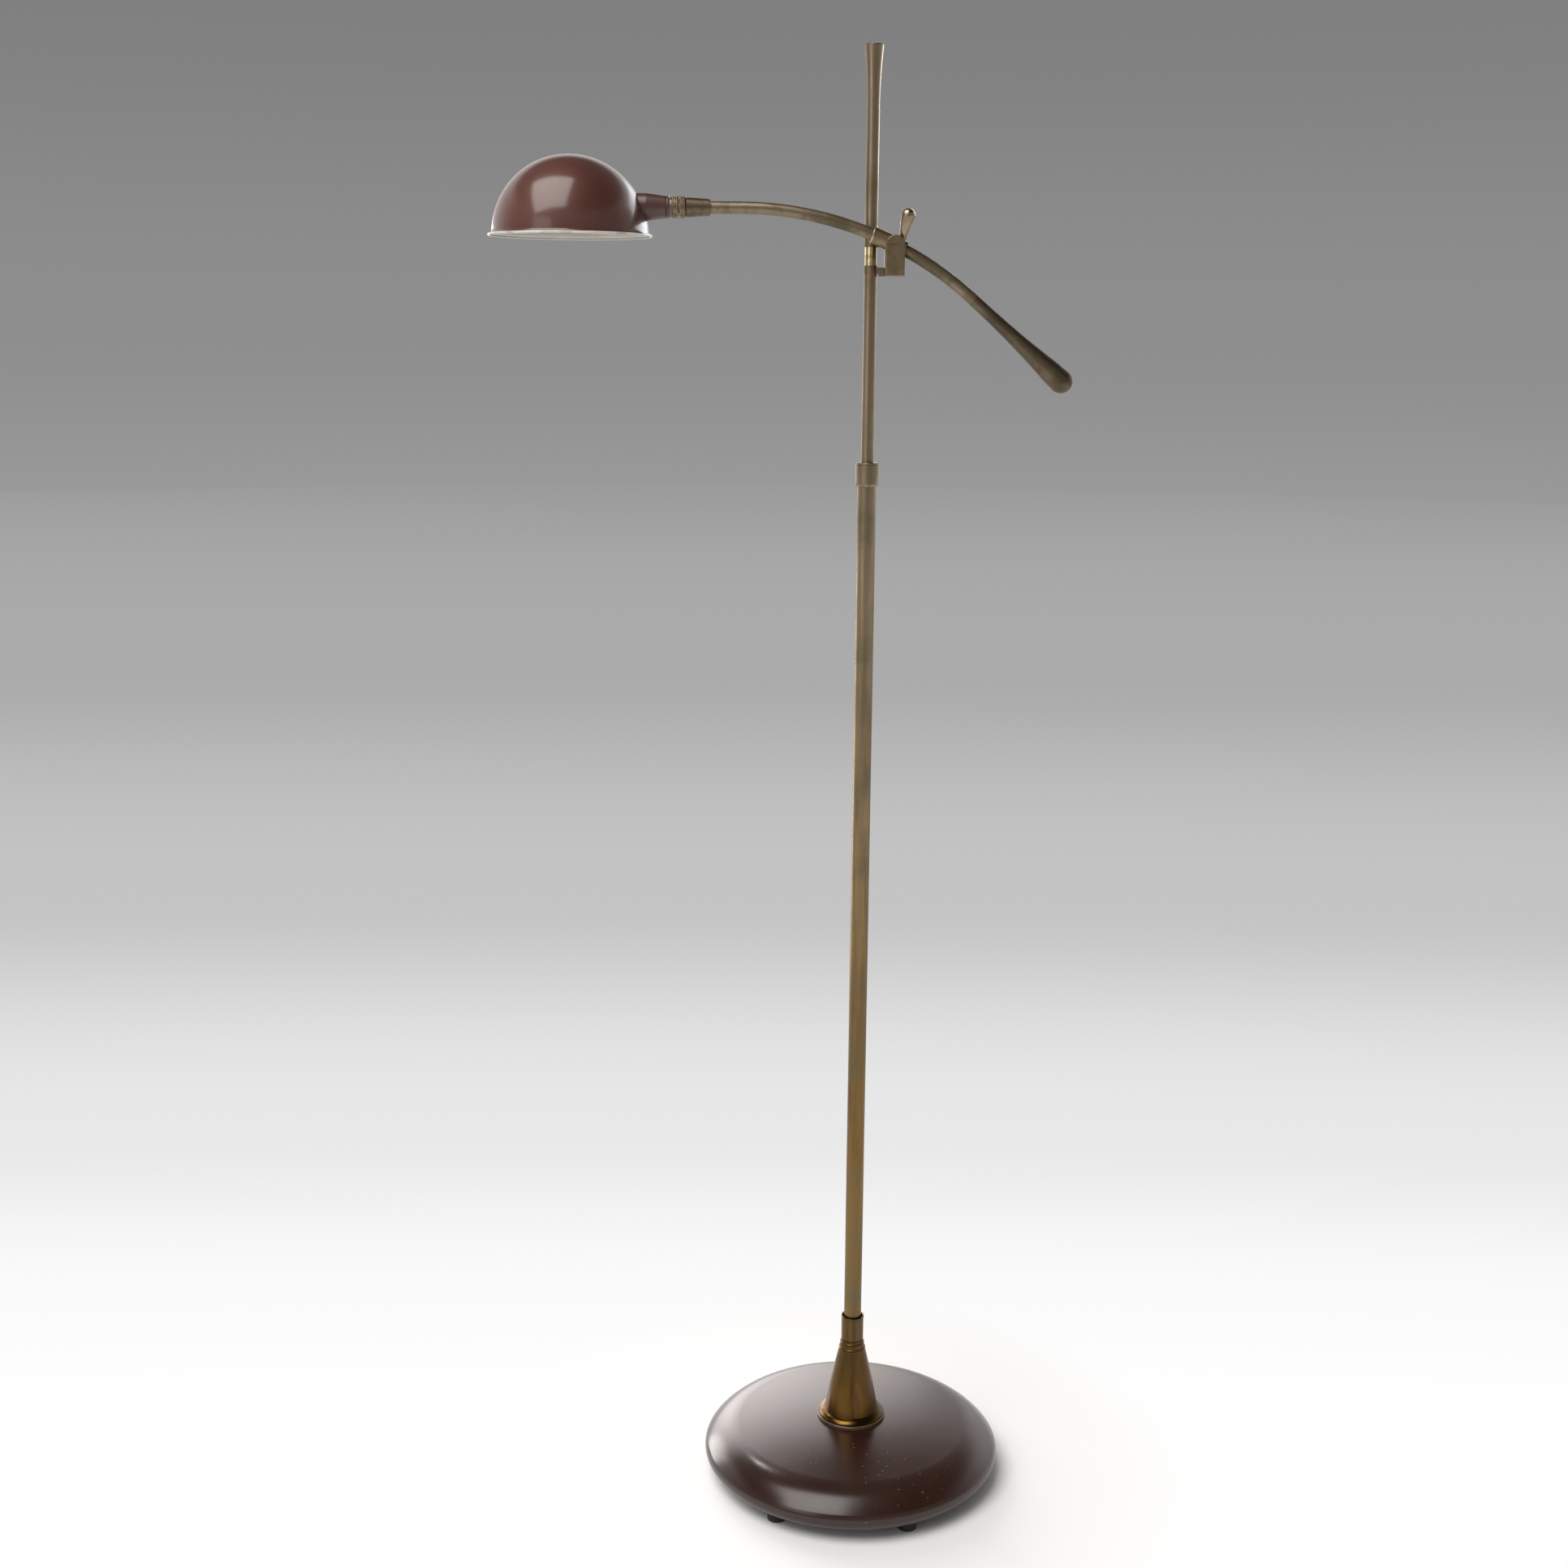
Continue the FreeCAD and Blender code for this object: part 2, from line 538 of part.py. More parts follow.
def base_shell():
    hole = rod_hole
    shell = turned("shell_turning", [
        (hole, dome_height(hole, base_wall)),
        (hole, dome_height(hole, 0), -base_dome_radius),
        (*shoulder_point(0), -base_shoulder_radius),
        (*edge_point(0), -base_edge_radius),
        lip_point(0),
        (*lip_point(base_wall), base_edge_radius - base_wall),
        (*edge_point(base_wall), base_shoulder_radius - base_wall),
        (*shoulder_point(base_wall), base_dome_radius - base_wall),
    ])
    inlet = cylinder(
        "shell_inlet", inlet_radius + fixed_fit, base_edge_radius * 2,
        (0, edge_centre_radius, edge_height), ALONG_Y)
    finish(cut("shell_cut", shell, inlet), "base_shell")


def base_weight():
    hole = rod_hole
    body = turned("weight_turning", [
        (recess_radius, stack),
        (weight_radius, stack),
        (weight_radius, stack + weight_thickness),
        (weight_boss_radius, stack + weight_thickness),
        (weight_boss_radius, dome_height(weight_boss_radius, base_wall) - face_gap),
        (hole, dome_height(weight_boss_radius, base_wall) - face_gap),
        (hole, stack + recess_depth),
        (recess_radius, stack + recess_depth),
    ])
    groove = box(
        "weight_groove", groove_width, weight_radius * 2, groove_width, (-groove_width / 2, 0, stack))
    mouth = box(
        "weight_mouth", groove_width, groove_mouth, weight_thickness,
        (-groove_width / 2, weight_radius - groove_mouth, stack))
    holes = []
    for index, spot in enumerate(foot_spots(stack)):
        radius = foot_screw_radius + fixed_fit
        holes.append(cylinder(f"weight_hole_{index}", radius, foot_screw_depth + 1, spot))
    finish(cut("weight_cut", body, groove, mouth, *holes), "base_weight")


def foot_spots(height):
    """The centres of the feet, at a height."""
    spots = []
    for index in range(foot_count):
        angle = foot_first_angle + index * 360.0 / foot_count
        spots.append((foot_circle * cosine(angle), foot_circle * sine(angle), height))
    return spots


def bottom_cover():
    radius = lip_point(base_wall)[0] - face_gap
    plate = cylinder("cover_plate", radius, cover_thickness, (0, 0, foot_height))
    holes = []
    for index, spot in enumerate(foot_spots(foot_height)):
        holes.append(cylinder(f"cover_hole_{index}", foot_screw_radius + running, cover_thickness, spot))
    finish(cut("cover_cut", plate, *holes), "bottom_cover")


def feet():
    screws = []
    for index, spot in enumerate(foot_spots(0)):
        foot = cone(f"foot_{index}_body", foot_radius, foot_radius + foot_taper, foot_height, spot)
        sink = cylinder(f"foot_{index}_sink", foot_screw_head + running, foot_screw_sink, spot)
        hole = cylinder(f"foot_{index}_hole", foot_screw_radius + running, foot_height, spot)
        finish(cut(f"foot_{index}_cut", foot, sink, hole), f"rubber_foot_{index + 1}")
        x, y, floor = spot
        head_bottom = foot_screw_sink - foot_screw_radius
        head = cylinder(f"foot_{index}_head", foot_screw_head, foot_screw_radius, (x, y, head_bottom))
        shank_length = stack + foot_screw_depth - head_bottom
        shank = cylinder(f"foot_{index}_shank", foot_screw_radius, shank_length, (x, y, head_bottom))
        slot = box(
            f"foot_{index}_slot", foot_screw_head * 2, slot_width, slot_depth,
            (x - foot_screw_head, y - slot_width / 2, head_bottom))
        screws.append(cut(f"foot_{index}_screw", join(f"foot_{index}_whole", head, shank), slot))
    group = DOC.addObject("Part::Compound", "foot_screw_group")
    group.Links = screws
    finish(group, "foot_screws")


def cord_inlet():
    """The bush in the rear edge: its flange is shaped to the rolled edge, and its bore is left free."""
    flange = cylinder(
        "inlet_flange_body", inlet_flange, base_edge_radius + inlet_stand,
        (0, edge_centre_radius, edge_height), ALONG_Y)
    edge = DOC.addObject("Part::Torus", "inlet_edge")
    bind(edge, "Radius1", edge_centre_radius)
    bind(edge, "Radius2", base_edge_radius + fixed_fit)
    place(edge, (0, 0, edge_height))
    start = base_radius - inlet_inner_length
    neck = cylinder(
        "inlet_neck", inlet_radius, inlet_inner_length + inlet_stand, (0, start, edge_height), ALONG_Y)
    whole = join("inlet_whole", cut("inlet_seat", flange, edge), neck)
    bore = cylinder(
        "inlet_bore_tool", inlet_bore, base_edge_radius * 4, (0, start - 1, edge_height), ALONG_Y)
    finish(cut("inlet_cut", whole, bore), "cord_inlet_bush")


def lead(name, points, bend, radius):
    """A round lead along straight runs with tangent arcs of the radii in bend at the inner points."""
    spots = [FreeCAD.Vector(*[as_size(amount).value for amount in point]) for point in points]
    edges = []
    start = spots[0]
    for index, arc_radius in enumerate((arc.value for arc in bend), start=1):
        corner = spots[index]
        back = (spots[index - 1] - corner).normalize()
        ahead = (spots[index + 1] - corner).normalize()
        half = back.getAngle(ahead) / 2
        reach = arc_radius / math.tan(half)
        first = corner + back * reach
        last = corner + ahead * reach
        centre = corner + (back + ahead).normalize() * (arc_radius / math.sin(half))
        middle = centre + (corner - centre).normalize() * arc_radius
        edges.append(Part.LineSegment(start, first).toShape())
        edges.append(Part.Arc(first, middle, last).toShape())
        start = last
    edges.append(Part.LineSegment(start, spots[-1]).toShape())
    spine = Part.Wire(edges)
    section = Part.Wire(Part.Circle(spots[0], spots[1] - spots[0], radius.value).toShape())
    item = DOC.addObject("Part::Feature", name)
    item.Shape = spine.makePipeShell([section], True, False)
    item.Placement = FreeCAD.Placement()
    return finish(item, name)


def base_lead():
    """The mains lead inside the base and the lower tube, from just inside the cord inlet."""
    start = base_radius - inlet_inner_length - 1
    groove_height = stack + groove_width / 2
    lead("base_lead", [
        (0, start, edge_height),
        (0, start - lead_radius * 2, edge_height),
        (0, weight_radius - groove_mouth / 2, groove_height),
        (0, 0, groove_height),
        (0, 0, lead_top),
    ], [lead_bend, lead_bend * 2, lead_bend], lead_radius)


def foot_ring():
    inner = cone_foot_radius - cone_wall * 3
    top = cone_bottom
    finish(turned("foot_ring_turning", [
        (inner, dome_height(inner, -fixed_fit), -(base_dome_radius + fixed_fit)),
        (foot_ring_radius, dome_height(foot_ring_radius, -fixed_fit)),
        (foot_ring_radius, top - cone_lip_height / 2),
        (foot_ring_radius - cone_lip_height / 2, top),
        (inner, top),
    ]), "cone_foot_ring")


def neck_radius(depth):
    """Radius of the cone's neck at a depth below the cup."""
    return cone_top_radius + (cone_neck_radius - cone_top_radius) * depth / cone_neck_height


def stem_cone():
    bottom = cone_bottom
    flare_top = bottom + cone_flare_height
    neck_bottom = cone_top - cone_neck_height
    half = cone_bead_height / 2
    beads = []
    for depth in (cone_bead_depth + cone_bead_pitch, cone_bead_depth):
        beads.append((neck_radius(depth + half), cone_top - depth - half, cone_bead_radius))
        beads.append((neck_radius(depth - half), cone_top - depth + half))
    finish(turned("cone_turning", [
        (cone_foot_radius - cone_wall, bottom),
        (cone_lip_radius, bottom),
        (cone_lip_radius, bottom + cone_lip_height, cone_flare_height * 1.6),
        (cone_foot_radius, flare_top, cone_flank),
        (cone_neck_radius, neck_bottom),
        *beads,
        (cone_top_radius, cone_top),
        (rod_hole, cone_top),
        (rod_hole, cone_top - cup_floor),
        (cone_top_radius - cone_wall, cone_top - cup_floor),
        (cone_neck_radius - cone_wall, neck_bottom),
        (cone_foot_radius - cone_wall, flare_top),
    ]), "stem_cone")


def cone_cup():
    top = cone_top + cup_height
    inner = lower_radius + cup_gap
    lip = cup_radius + cup_edge * 0.6
    finish(turned("cup_turning", [
        (rod_hole, cone_top),
        (cup_radius - cup_edge, cone_top),
        (cup_radius, cone_top + cup_edge * 2),
        (cup_radius, top - cup_floor),
        (lip, top - cup_floor + cup_edge),
        (lip, top - cup_edge),
        (cup_radius, top),
        (inner + cup_edge, top),
        (inner, top - cup_edge),
        (inner, tube_bottom),
        (rod_hole, tube_bottom),
    ]), "cone_cup")


def tie_rod():
    recess_top = stack + recess_depth
    washer_bottom = recess_top - washer_thickness
    nut_bottom = washer_bottom - nut_thickness
    rod_bottom = nut_bottom - 1
    plug_height = cup_height - cup_floor * 2
    rod_length = tube_bottom + plug_height - 2 - rod_bottom
    finish(tube("tie_rod", rod_radius, rod_bore, rod_length, (0, 0, rod_bottom)), "tie_rod")
    washer = tube("tie_washer", washer_radius, rod_hole, washer_thickness, (0, 0, washer_bottom))
    finish(washer, "tie_washer")
    nut = hexagon("tie_nut_body", nut_radius, nut_thickness, (0, 0, nut_bottom))
    hole = cylinder("tie_nut_hole", rod_hole, nut_thickness, (0, 0, nut_bottom))
    finish(cut("tie_nut_cut", nut, hole), "tie_nut")
    plug = tube("stem_plug", lower_bore - fixed_fit, rod_hole, plug_height, (0, 0, tube_bottom))
    finish(plug, "stem_plug")


def lower_stem():
    top = collar_bottom + collar_grip
    stem = tube("lower_tube", lower_radius, lower_bore, top - tube_bottom, (0, 0, tube_bottom))
    finish(stem, "lower_stem_tube")
    collet_outside = cylinder("collet_outside", lower_radius - 0.6, collet_height, (0, 0, top))
    collet_inside = cylinder("collet_inside", upper_radius + running, collet_height, (0, 0, top))
    slit = box(
        "collet_slit_tool", lower_radius * 2, collet_slit, collet_height, (0, -collet_slit / 2, top))
    finish(cut("collet_cut", collet_outside, collet_inside, slit), "clutch_collet")


def clutch_collar():
    bottom = collar_bottom
    top = bottom + collar_height
    seat = bottom + collar_grip + collet_height + face_gap
    lower = lower_radius + running
    upper = upper_radius + running
    waist = collar_radius - 1.1
    finish(turned("collar_turning", [
        (lower, bottom),
        (waist, bottom),
        (collar_radius, bottom + 2.2),
        (collar_radius, top - 2.4),
        (collar_radius - 0.5, top - 2.2),
        (collar_radius - 0.5, top - 1.8),
        (collar_radius, top - 1.6),
        (collar_radius, top - 0.6),
        (collar_radius - 0.6, top),
        (upper, top),
        (upper, seat),
        (lower, seat),
    ]), "clutch_collar")


def small_bush(name, axis_spot, wall_radius, seat, turn):
    """A flanged bush for the lead through a tube's wall, shaped to the tube by a seat cut from it."""
    flange = cylinder(f"{name}_flange", outlet_flange, wall_radius + outlet_stand, axis_spot, turn)
    neck = cylinder(f"{name}_neck", outlet_radius, wall_radius + outlet_stand, axis_spot, turn)
    core = cylinder(f"{name}_core", wall_radius - upper_wall - 0.5, outlet_flange * 4, *seat["inner"])
    bored = cylinder(f"{name}_bore", outlet_bore, wall_radius * 4, axis_spot, turn)
    whole = join(f"{name}_whole", cut(f"{name}_seat", flange, seat["outer"]), neck)
    finish(cut(f"{name}_cut", whole, core, bored), name)


def upper_stem():
    length = tube_end - upper_foot
    outlet_height = bracket_bottom - outlet_drop
    wall = tube("upper_tube_wall", upper_radius, upper_bore, length, (0, 0, upper_foot))
    hole = cylinder(
        "upper_tube_hole", outlet_radius + fixed_fit, upper_radius * 2, (0, 0, outlet_height), ALONG_Y)
    finish(cut("upper_tube_cut", wall, hole), "upper_stem_tube")
    around = outlet_height - outlet_flange * 2
    seat = {
        "outer": cylinder(
            "outlet_outer", upper_radius + fixed_fit, outlet_flange * 4, (0, 0, around)),
        "inner": ((0, 0, around), UPRIGHT),
    }
    small_bush("stem_outlet_bush", (0, 0, outlet_height), upper_radius, seat, ALONG_Y)

    guide_bottom = upper_foot - guide_floor
    guide_radius = lower_bore - running
    guide = cylinder("guide_body", guide_radius, guide_height, (0, 0, guide_bottom))
    seat_bore = cylinder("guide_seat", upper_radius + fixed_fit, guide_height, (0, 0, upper_foot))
    lead_bore = cylinder("guide_lead_bore", lead_radius + running, guide_floor, (0, 0, guide_bottom))
    finish(cut("guide_cut", guide, seat_bore, lead_bore), "guide_bush")

    lead_length = outlet_height - guide_bottom
    finish(cylinder("upper_lead_body", lead_radius, lead_length, (0, 0, guide_bottom)), "upper_lead")


def swivel():
    head_bottom = tube_end - core_head
    plug_top = top_tube_bottom + core_plug_height
    core = cylinder("core_rod", core_radius, plug_top + 1 - head_bottom, (0, 0, head_bottom))
    head = cylinder("core_head_body", upper_bore - fixed_fit, core_head, (0, 0, head_bottom))
    finish(join("core_whole", core, head), "swivel_core")
    bore = core_radius + fixed_fit
    plug = tube("core_plug", upper_bore - fixed_fit, bore, core_plug_height, (0, 0, top_tube_bottom))
    finish(plug, "core_plug")
    sleeve_bottom = lower_ring_bottom + lower_ring_height + fixed_fit
    sleeve_height = upper_ring_bottom - fixed_fit - sleeve_bottom
    sleeve = tube("sleeve", sleeve_radius, bore, sleeve_height, (0, 0, sleeve_bottom))
    finish(sleeve, "polished_sleeve")
    washer_height = swivel_washer - fixed_fit
    upper_washer_bottom = upper_ring_top + fixed_fit
    washers = DOC.addObject("Part::Compound", "swivel_washer_group")
    washers.Links = [
        tube("washer_low", upper_radius, bore, washer_height, (0, 0, tube_end)),
        tube("washer_high", upper_radius, bore, washer_height, (0, 0, upper_washer_bottom)),
    ]
    finish(washers, "swivel_washers")


def stem_top():
    stem = tube("top_tube", upper_radius, upper_bore, top_tube_length, (0, 0, top_tube_bottom))
    finish(stem, "top_stem_tube")
    spigot = upper_bore - fixed_fit
    ring = tube("finial_ring", finial_ring_radius, upper_bore, finial_ring_height, (0, 0, top_tube_top))
    finish(ring, "finial_ring")
    shoulder = finial_spigot + finial_ring_height
    top = shoulder + finial_length
    finish(turned("finial_turning", [
        (0, 0),
        (spigot, 0),
        (spigot, shoulder),
        (finial_foot_radius, shoulder, -finial_flare),
        (finial_top_radius, top - finial_edge),
        (finial_top_radius - finial_edge, top),
        (0, top),
    ], (0, 0, top_tube_top - finial_spigot)), "finial")


def arm_bracket():
    left = pivot_reach - knuckle_radius
    width = knuckle_radius * 2
    back_front = arm_plane + slot_half
    front_back = arm_plane - slot_half
    front = front_back - cheek_thickness
    rise = bracket_drop
    back_depth = bracket_back - back_front
    pivot_front = (pivot_reach, front, pivot_height)
    pivot_back = (pivot_reach, back_front, pivot_height)
    pieces = [
        box("bracket_back_block", width, back_depth, rise, (left, back_front, bracket_bottom)),
        cylinder("bracket_back_knuckle", knuckle_radius, back_depth, pivot_back, ALONG_Y),
        box("bracket_front_block", width, cheek_thickness, rise, (left, front, bracket_bottom)),
        cylinder("bracket_front_knuckle", knuckle_radius, cheek_thickness, pivot_front, ALONG_Y),
        box("bracket_floor_block", width, bracket_back - front, bracket_floor,
            (left, front, bracket_bottom)),
        cylinder("bracket_lower_ring", ring_radius, lower_ring_height, (0, 0, lower_ring_bottom)),
        cylinder("bracket_upper_ring", ring_radius, upper_ring_height, (0, 0, upper_ring_bottom)),
        box("bracket_lower_web", left + 1 - core_radius, web_width, bracket_floor - lower_ring_rise,
            (core_radius, -web_width / 2, lower_ring_bottom)),
        box("bracket_lower_foot", left + 1 - upper_radius - cheek_thickness / 3, web_width, bracket_floor,
            (upper_radius + cheek_thickness / 3, -web_width / 2, bracket_bottom)),
        box("bracket_upper_web", left + 1 - core_radius, web_width, upper_ring_height,
            (core_radius, -web_width / 2, upper_ring_bottom)),
    ]
    whole = join("bracket_whole", *pieces)
    bore = cylinder(
        "bracket_bore", core_radius + running, rise * 2, (0, 0, bracket_bottom - rise / 2))
    pin = cylinder(
        "bracket_pin_bore", pivot_radius + running, rise * 2, (pivot_reach, front - 1, pivot_height), ALONG_Y)
    sink = cone(
        "bracket_sink", pivot_head + running, pivot_radius + running, pivot_sink, pivot_front, ALONG_Y)
    bored = cut("bracket_bored", whole, bore, pin, sink)
    DOC.recompute()
    rounding = DOC.addObject("Part::Fillet", "bracket_rounding")
    rounding.Base = bored
    rounding.Edges = [(number, bracket_round.value, bracket_round.value)
                      for number, edge in enumerate(bored.Shape.Edges, start=1)
                      if is_cheek_edge(edge, front.value)]
    finish(rounding, "arm_bracket")


def is_cheek_edge(edge, front):
    """True for the outline edges of the bracket's front face, but not for the screw's hole in it."""
    bounds = edge.BoundBox
    flat = abs(bounds.YMin - front) < 1e-4 and abs(bounds.YMax - front) < 1e-4
    return flat and bounds.DiagonalLength > pivot_head.value * 3.2


def arm_barrel():
    left = pivot_slope - barrel_left
    right = pivot_slope + barrel_right
    clamp_slope = pivot_slope + clamp_angle
    lean = clamp_turn()
    boss = cylinder("barrel_boss", clamp_boss_radius, clamp_boss_top, on_arm(clamp_slope), lean)
    whole = join(
        "barrel_whole",
        bent("barrel_body", barrel_radius, left, right),
        bent("barrel_left_rim", barrel_radius + barrel_rim_height, left, left + barrel_rim),
        bent("barrel_right_rim", barrel_radius + barrel_rim_height, right - barrel_rim, right),
        boss)
    bore = bent("barrel_bore", arm_radius + running, left - 1, right + 1)
    stud = cylinder(
        "barrel_stud_hole", clamp_stud + fixed_fit, clamp_boss_top + 1, on_arm(clamp_slope), lean)
    pins = cylinder(
        "barrel_pin_holes", pivot_radius + fixed_fit, barrel_radius * 2 + 2,
        (pivot_reach, arm_plane - barrel_radius - 1, pivot_height), ALONG_Y)
    finish(cut("barrel_cut", whole, bore, stud, pins), "arm_barrel")


def pivot_screws():
    """The front screw is sunk in the cheek, and the rear one bears on a spring washer."""
    inner = arm_radius + face_gap
    front_face = arm_plane - slot_half - cheek_thickness
    front_length = slot_half + cheek_thickness - inner
    front_spot = (pivot_reach, front_face, pivot_height)
    front_shank = cylinder("front_shank", pivot_radius, front_length, front_spot, ALONG_Y)
    front_head = cone("front_head", pivot_head, pivot_radius, pivot_sink, front_spot, ALONG_Y)
    front_slot = box(
        "front_slot", pivot_head * 3, slot_depth, slot_width,
        (pivot_reach - pivot_head * 1.5, front_face, pivot_height - slot_width / 2))
    rear_start = arm_plane + inner
    head_start = bracket_back + spring_washer
    rear_length = head_start - rear_start
    rear_shank = cylinder(
        "rear_shank", pivot_radius, rear_length, (pivot_reach, rear_start, pivot_height), ALONG_Y)
    rear_head = cylinder(
        "rear_head", pivot_head, pivot_head_height, (pivot_reach, head_start, pivot_height), ALONG_Y)
    rear_slot = box(
        "rear_slot", pivot_head * 3, slot_depth, slot_width,
        (pivot_reach - pivot_head * 1.5, head_start + pivot_head_height - slot_depth,
         pivot_height - slot_width / 2))
    pair = DOC.addObject("Part::Compound", "pivot_screw_pair")
    pair.Links = [
        cut("front_screw", join("front_whole", front_shank, front_head), front_slot),
        cut("rear_screw", join("rear_whole", rear_shank, rear_head), rear_slot),
    ]
    finish(pair, "pivot_screws")
    finish(tube("spring_washer_ring", pivot_head, pivot_radius + running, spring_washer,
                (pivot_reach, bracket_back, pivot_height), ALONG_Y), "pivot_washer")


def clamp_turn():
    return about("y", clamp_lean) * about("x", clamp_forward)


def clamp_screw():
    """The screw that holds the arm in the barrel: a pad, a stud with a hub, and a tapered handle."""
    slope = pivot_slope + clamp_angle
    x, y, z = on_arm(slope)
    lean = clamp_turn()

    def along(distance):
        rise = distance * cosine(clamp_forward)
        out = distance * sine(clamp_forward)
        return (x + rise * sine(clamp_lean), y - out, z + rise * cosine(clamp_lean))

    stud_start = clamp_pad_top + fixed_fit
    hub_start = clamp_boss_top + face_gap
    hub_top = hub_start + clamp_hub_height
    pad = cylinder("clamp_pad_body", clamp_stud, clamp_pad_top / 2, along(clamp_pad_top / 2), lean)
    arm_seat = bent("clamp_pad_seat", arm_radius + running, slope - 2, slope + 2)
    finish(cut("clamp_pad_cut", pad, arm_seat), "clamp_pad")
    stud = cylinder("clamp_stud_body", clamp_stud, hub_start - stud_start, along(stud_start), lean)
    hub = cylinder("clamp_hub_body", clamp_hub_radius, clamp_hub_height, along(hub_start), lean)
    finish(join("clamp_whole", stud, hub), "clamp_screw")
    shoulder = handle_length - handle_top_radius
    finish(turned("handle_turning", [
        (0, 0),
        (handle_foot_radius, 0),
        (handle_top_radius, shoulder, handle_top_radius),
        (0, handle_length),
    ], along(hub_top), lean), "clamp_handle")


def arm():
    bore = arm_radius - arm_wall
    straight = (bend_x - arm_front_length, arm_plane, head_height)
    sideways = about("y", 90)
    whole = join(
        "arm_whole",
        cylinder("arm_front", arm_radius, arm_front_length, straight, sideways),
        bent("arm_bend", arm_radius, as_size(0), arm_end_slope))
    hollow = join(
        "arm_hollow",
        cylinder("arm_front_bore", bore, arm_front_length, straight, sideways),
        bent("arm_bend_bore", bore, as_size(0), arm_end_slope))
    inlet_spot = on_arm(arm_inlet_slope)
    hole = cylinder("arm_inlet_hole", outlet_radius + fixed_fit, arm_radius * 2, inlet_spot, ALONG_Y)
    finish(cut("arm_cut", whole, hollow, hole), "arm_tube")
    tangent = about("y", 90 + arm_inlet_slope)
    x, y, z = inlet_spot
    away = outlet_flange * 2
    seat_spot = (x - away * cosine(arm_inlet_slope), y, z + away * sine(arm_inlet_slope))
    seat = {
        "outer": bent("inlet_outer", arm_radius + fixed_fit, arm_inlet_slope - 2, arm_inlet_slope + 2),
        "inner": (seat_spot, tangent),
    }
    small_bush("arm_inlet_bush", inlet_spot, arm_radius, seat, ALONG_Y)
    lead_start = arm_inlet_slope + 0.5
    lead_length = spigot_end + 1
    finish(join(
        "arm_lead_whole",
        cylinder("arm_lead_front", arm_lead_radius, lead_length, forward(lead_length), sideways),
        bent("arm_lead_bend", arm_lead_radius, as_size(0), lead_start)), "arm_lead")


def counterweight():
    """A tapered bar with a hollow flank and a rounded end, on a spigot that follows the arm's bend."""
    waist = weight_length - weight_end_radius
    bar = turned("weight_bar", [
        (0, 0),
        (weight_neck_radius, 0),
        (weight_neck_radius, weight_neck, -weight_flank),
        (weight_end_radius - weight_end_bevel, waist),
        (weight_end_radius, weight_length, weight_end_radius),
        (0, weight_length + weight_end_radius),
    ], on_arm(arm_end_slope), about("y", 90 + arm_end_slope))
    spigot_size = arm_radius - arm_wall - fixed_fit
    spigot = bent("weight_spigot_bar", spigot_size, arm_end_slope - weight_spigot, arm_end_slope)
    finish(join("weight_whole", bar, spigot), "counterweight")


def swivel_pieces():
    """Ferrule, spigot, swivel nut and switch ring on the head's axis."""
    arm_seat = arm_front_length - ferrule_start
    length = ferrule_end - ferrule_start
    finish(turned("ferrule_turning", [
        (arm_radius + fixed_fit, 0),
        (ferrule_rear_radius, 0),
        (ferrule_rear_radius, 1.2),
        (ferrule_rear_radius + 0.5, 1.8),
        (ferrule_front_radius, length - 0.8),
        (ferrule_front_radius - 0.6, length),
        (spigot_radius + fixed_fit, length),
        (spigot_radius + fixed_fit, arm_seat),
        (arm_radius + fixed_fit, arm_seat),
    ], forward(ferrule_start), FORWARD), "arm_ferrule")
    finish(tube("spigot_tube", spigot_radius, spigot_bore, spigot_end - spigot_start,
                forward(spigot_start), FORWARD), "swivel_spigot")
    finish(knurled_ring("nut_ring", nut_ring_radius, spigot_radius + running, nut_ring_width,
                        ferrule_end + face_gap), "swivel_nut")
    finish(knurled_ring("switch_ring_body", switch_ring_radius, hub_radius + running, switch_ring_width,
                        hub_start() + face_gap), "switch_ring")


def hub_start():
    """Where the end cap's hub starts, forward of the arm's bend."""
    return ferrule_end + nut_ring_width + face_gap * 2


def cap_start():
    """Where the end cap's collar starts, past the hub that carries the switch ring."""
    return hub_start() + switch_ring_width + face_gap * 2


def neck_start():
    return cap_start() + cap_collar_width + bead_width


def knurled_ring(name, radius, bore, width, start):
    return turned(name, [
        (bore, 0),
        (radius - knurl_bevel, 0),
        (radius, knurl_bevel),
        (radius, width - knurl_bevel),
        (radius - knurl_bevel, width),
        (bore, width),
    ], forward(start), FORWARD)


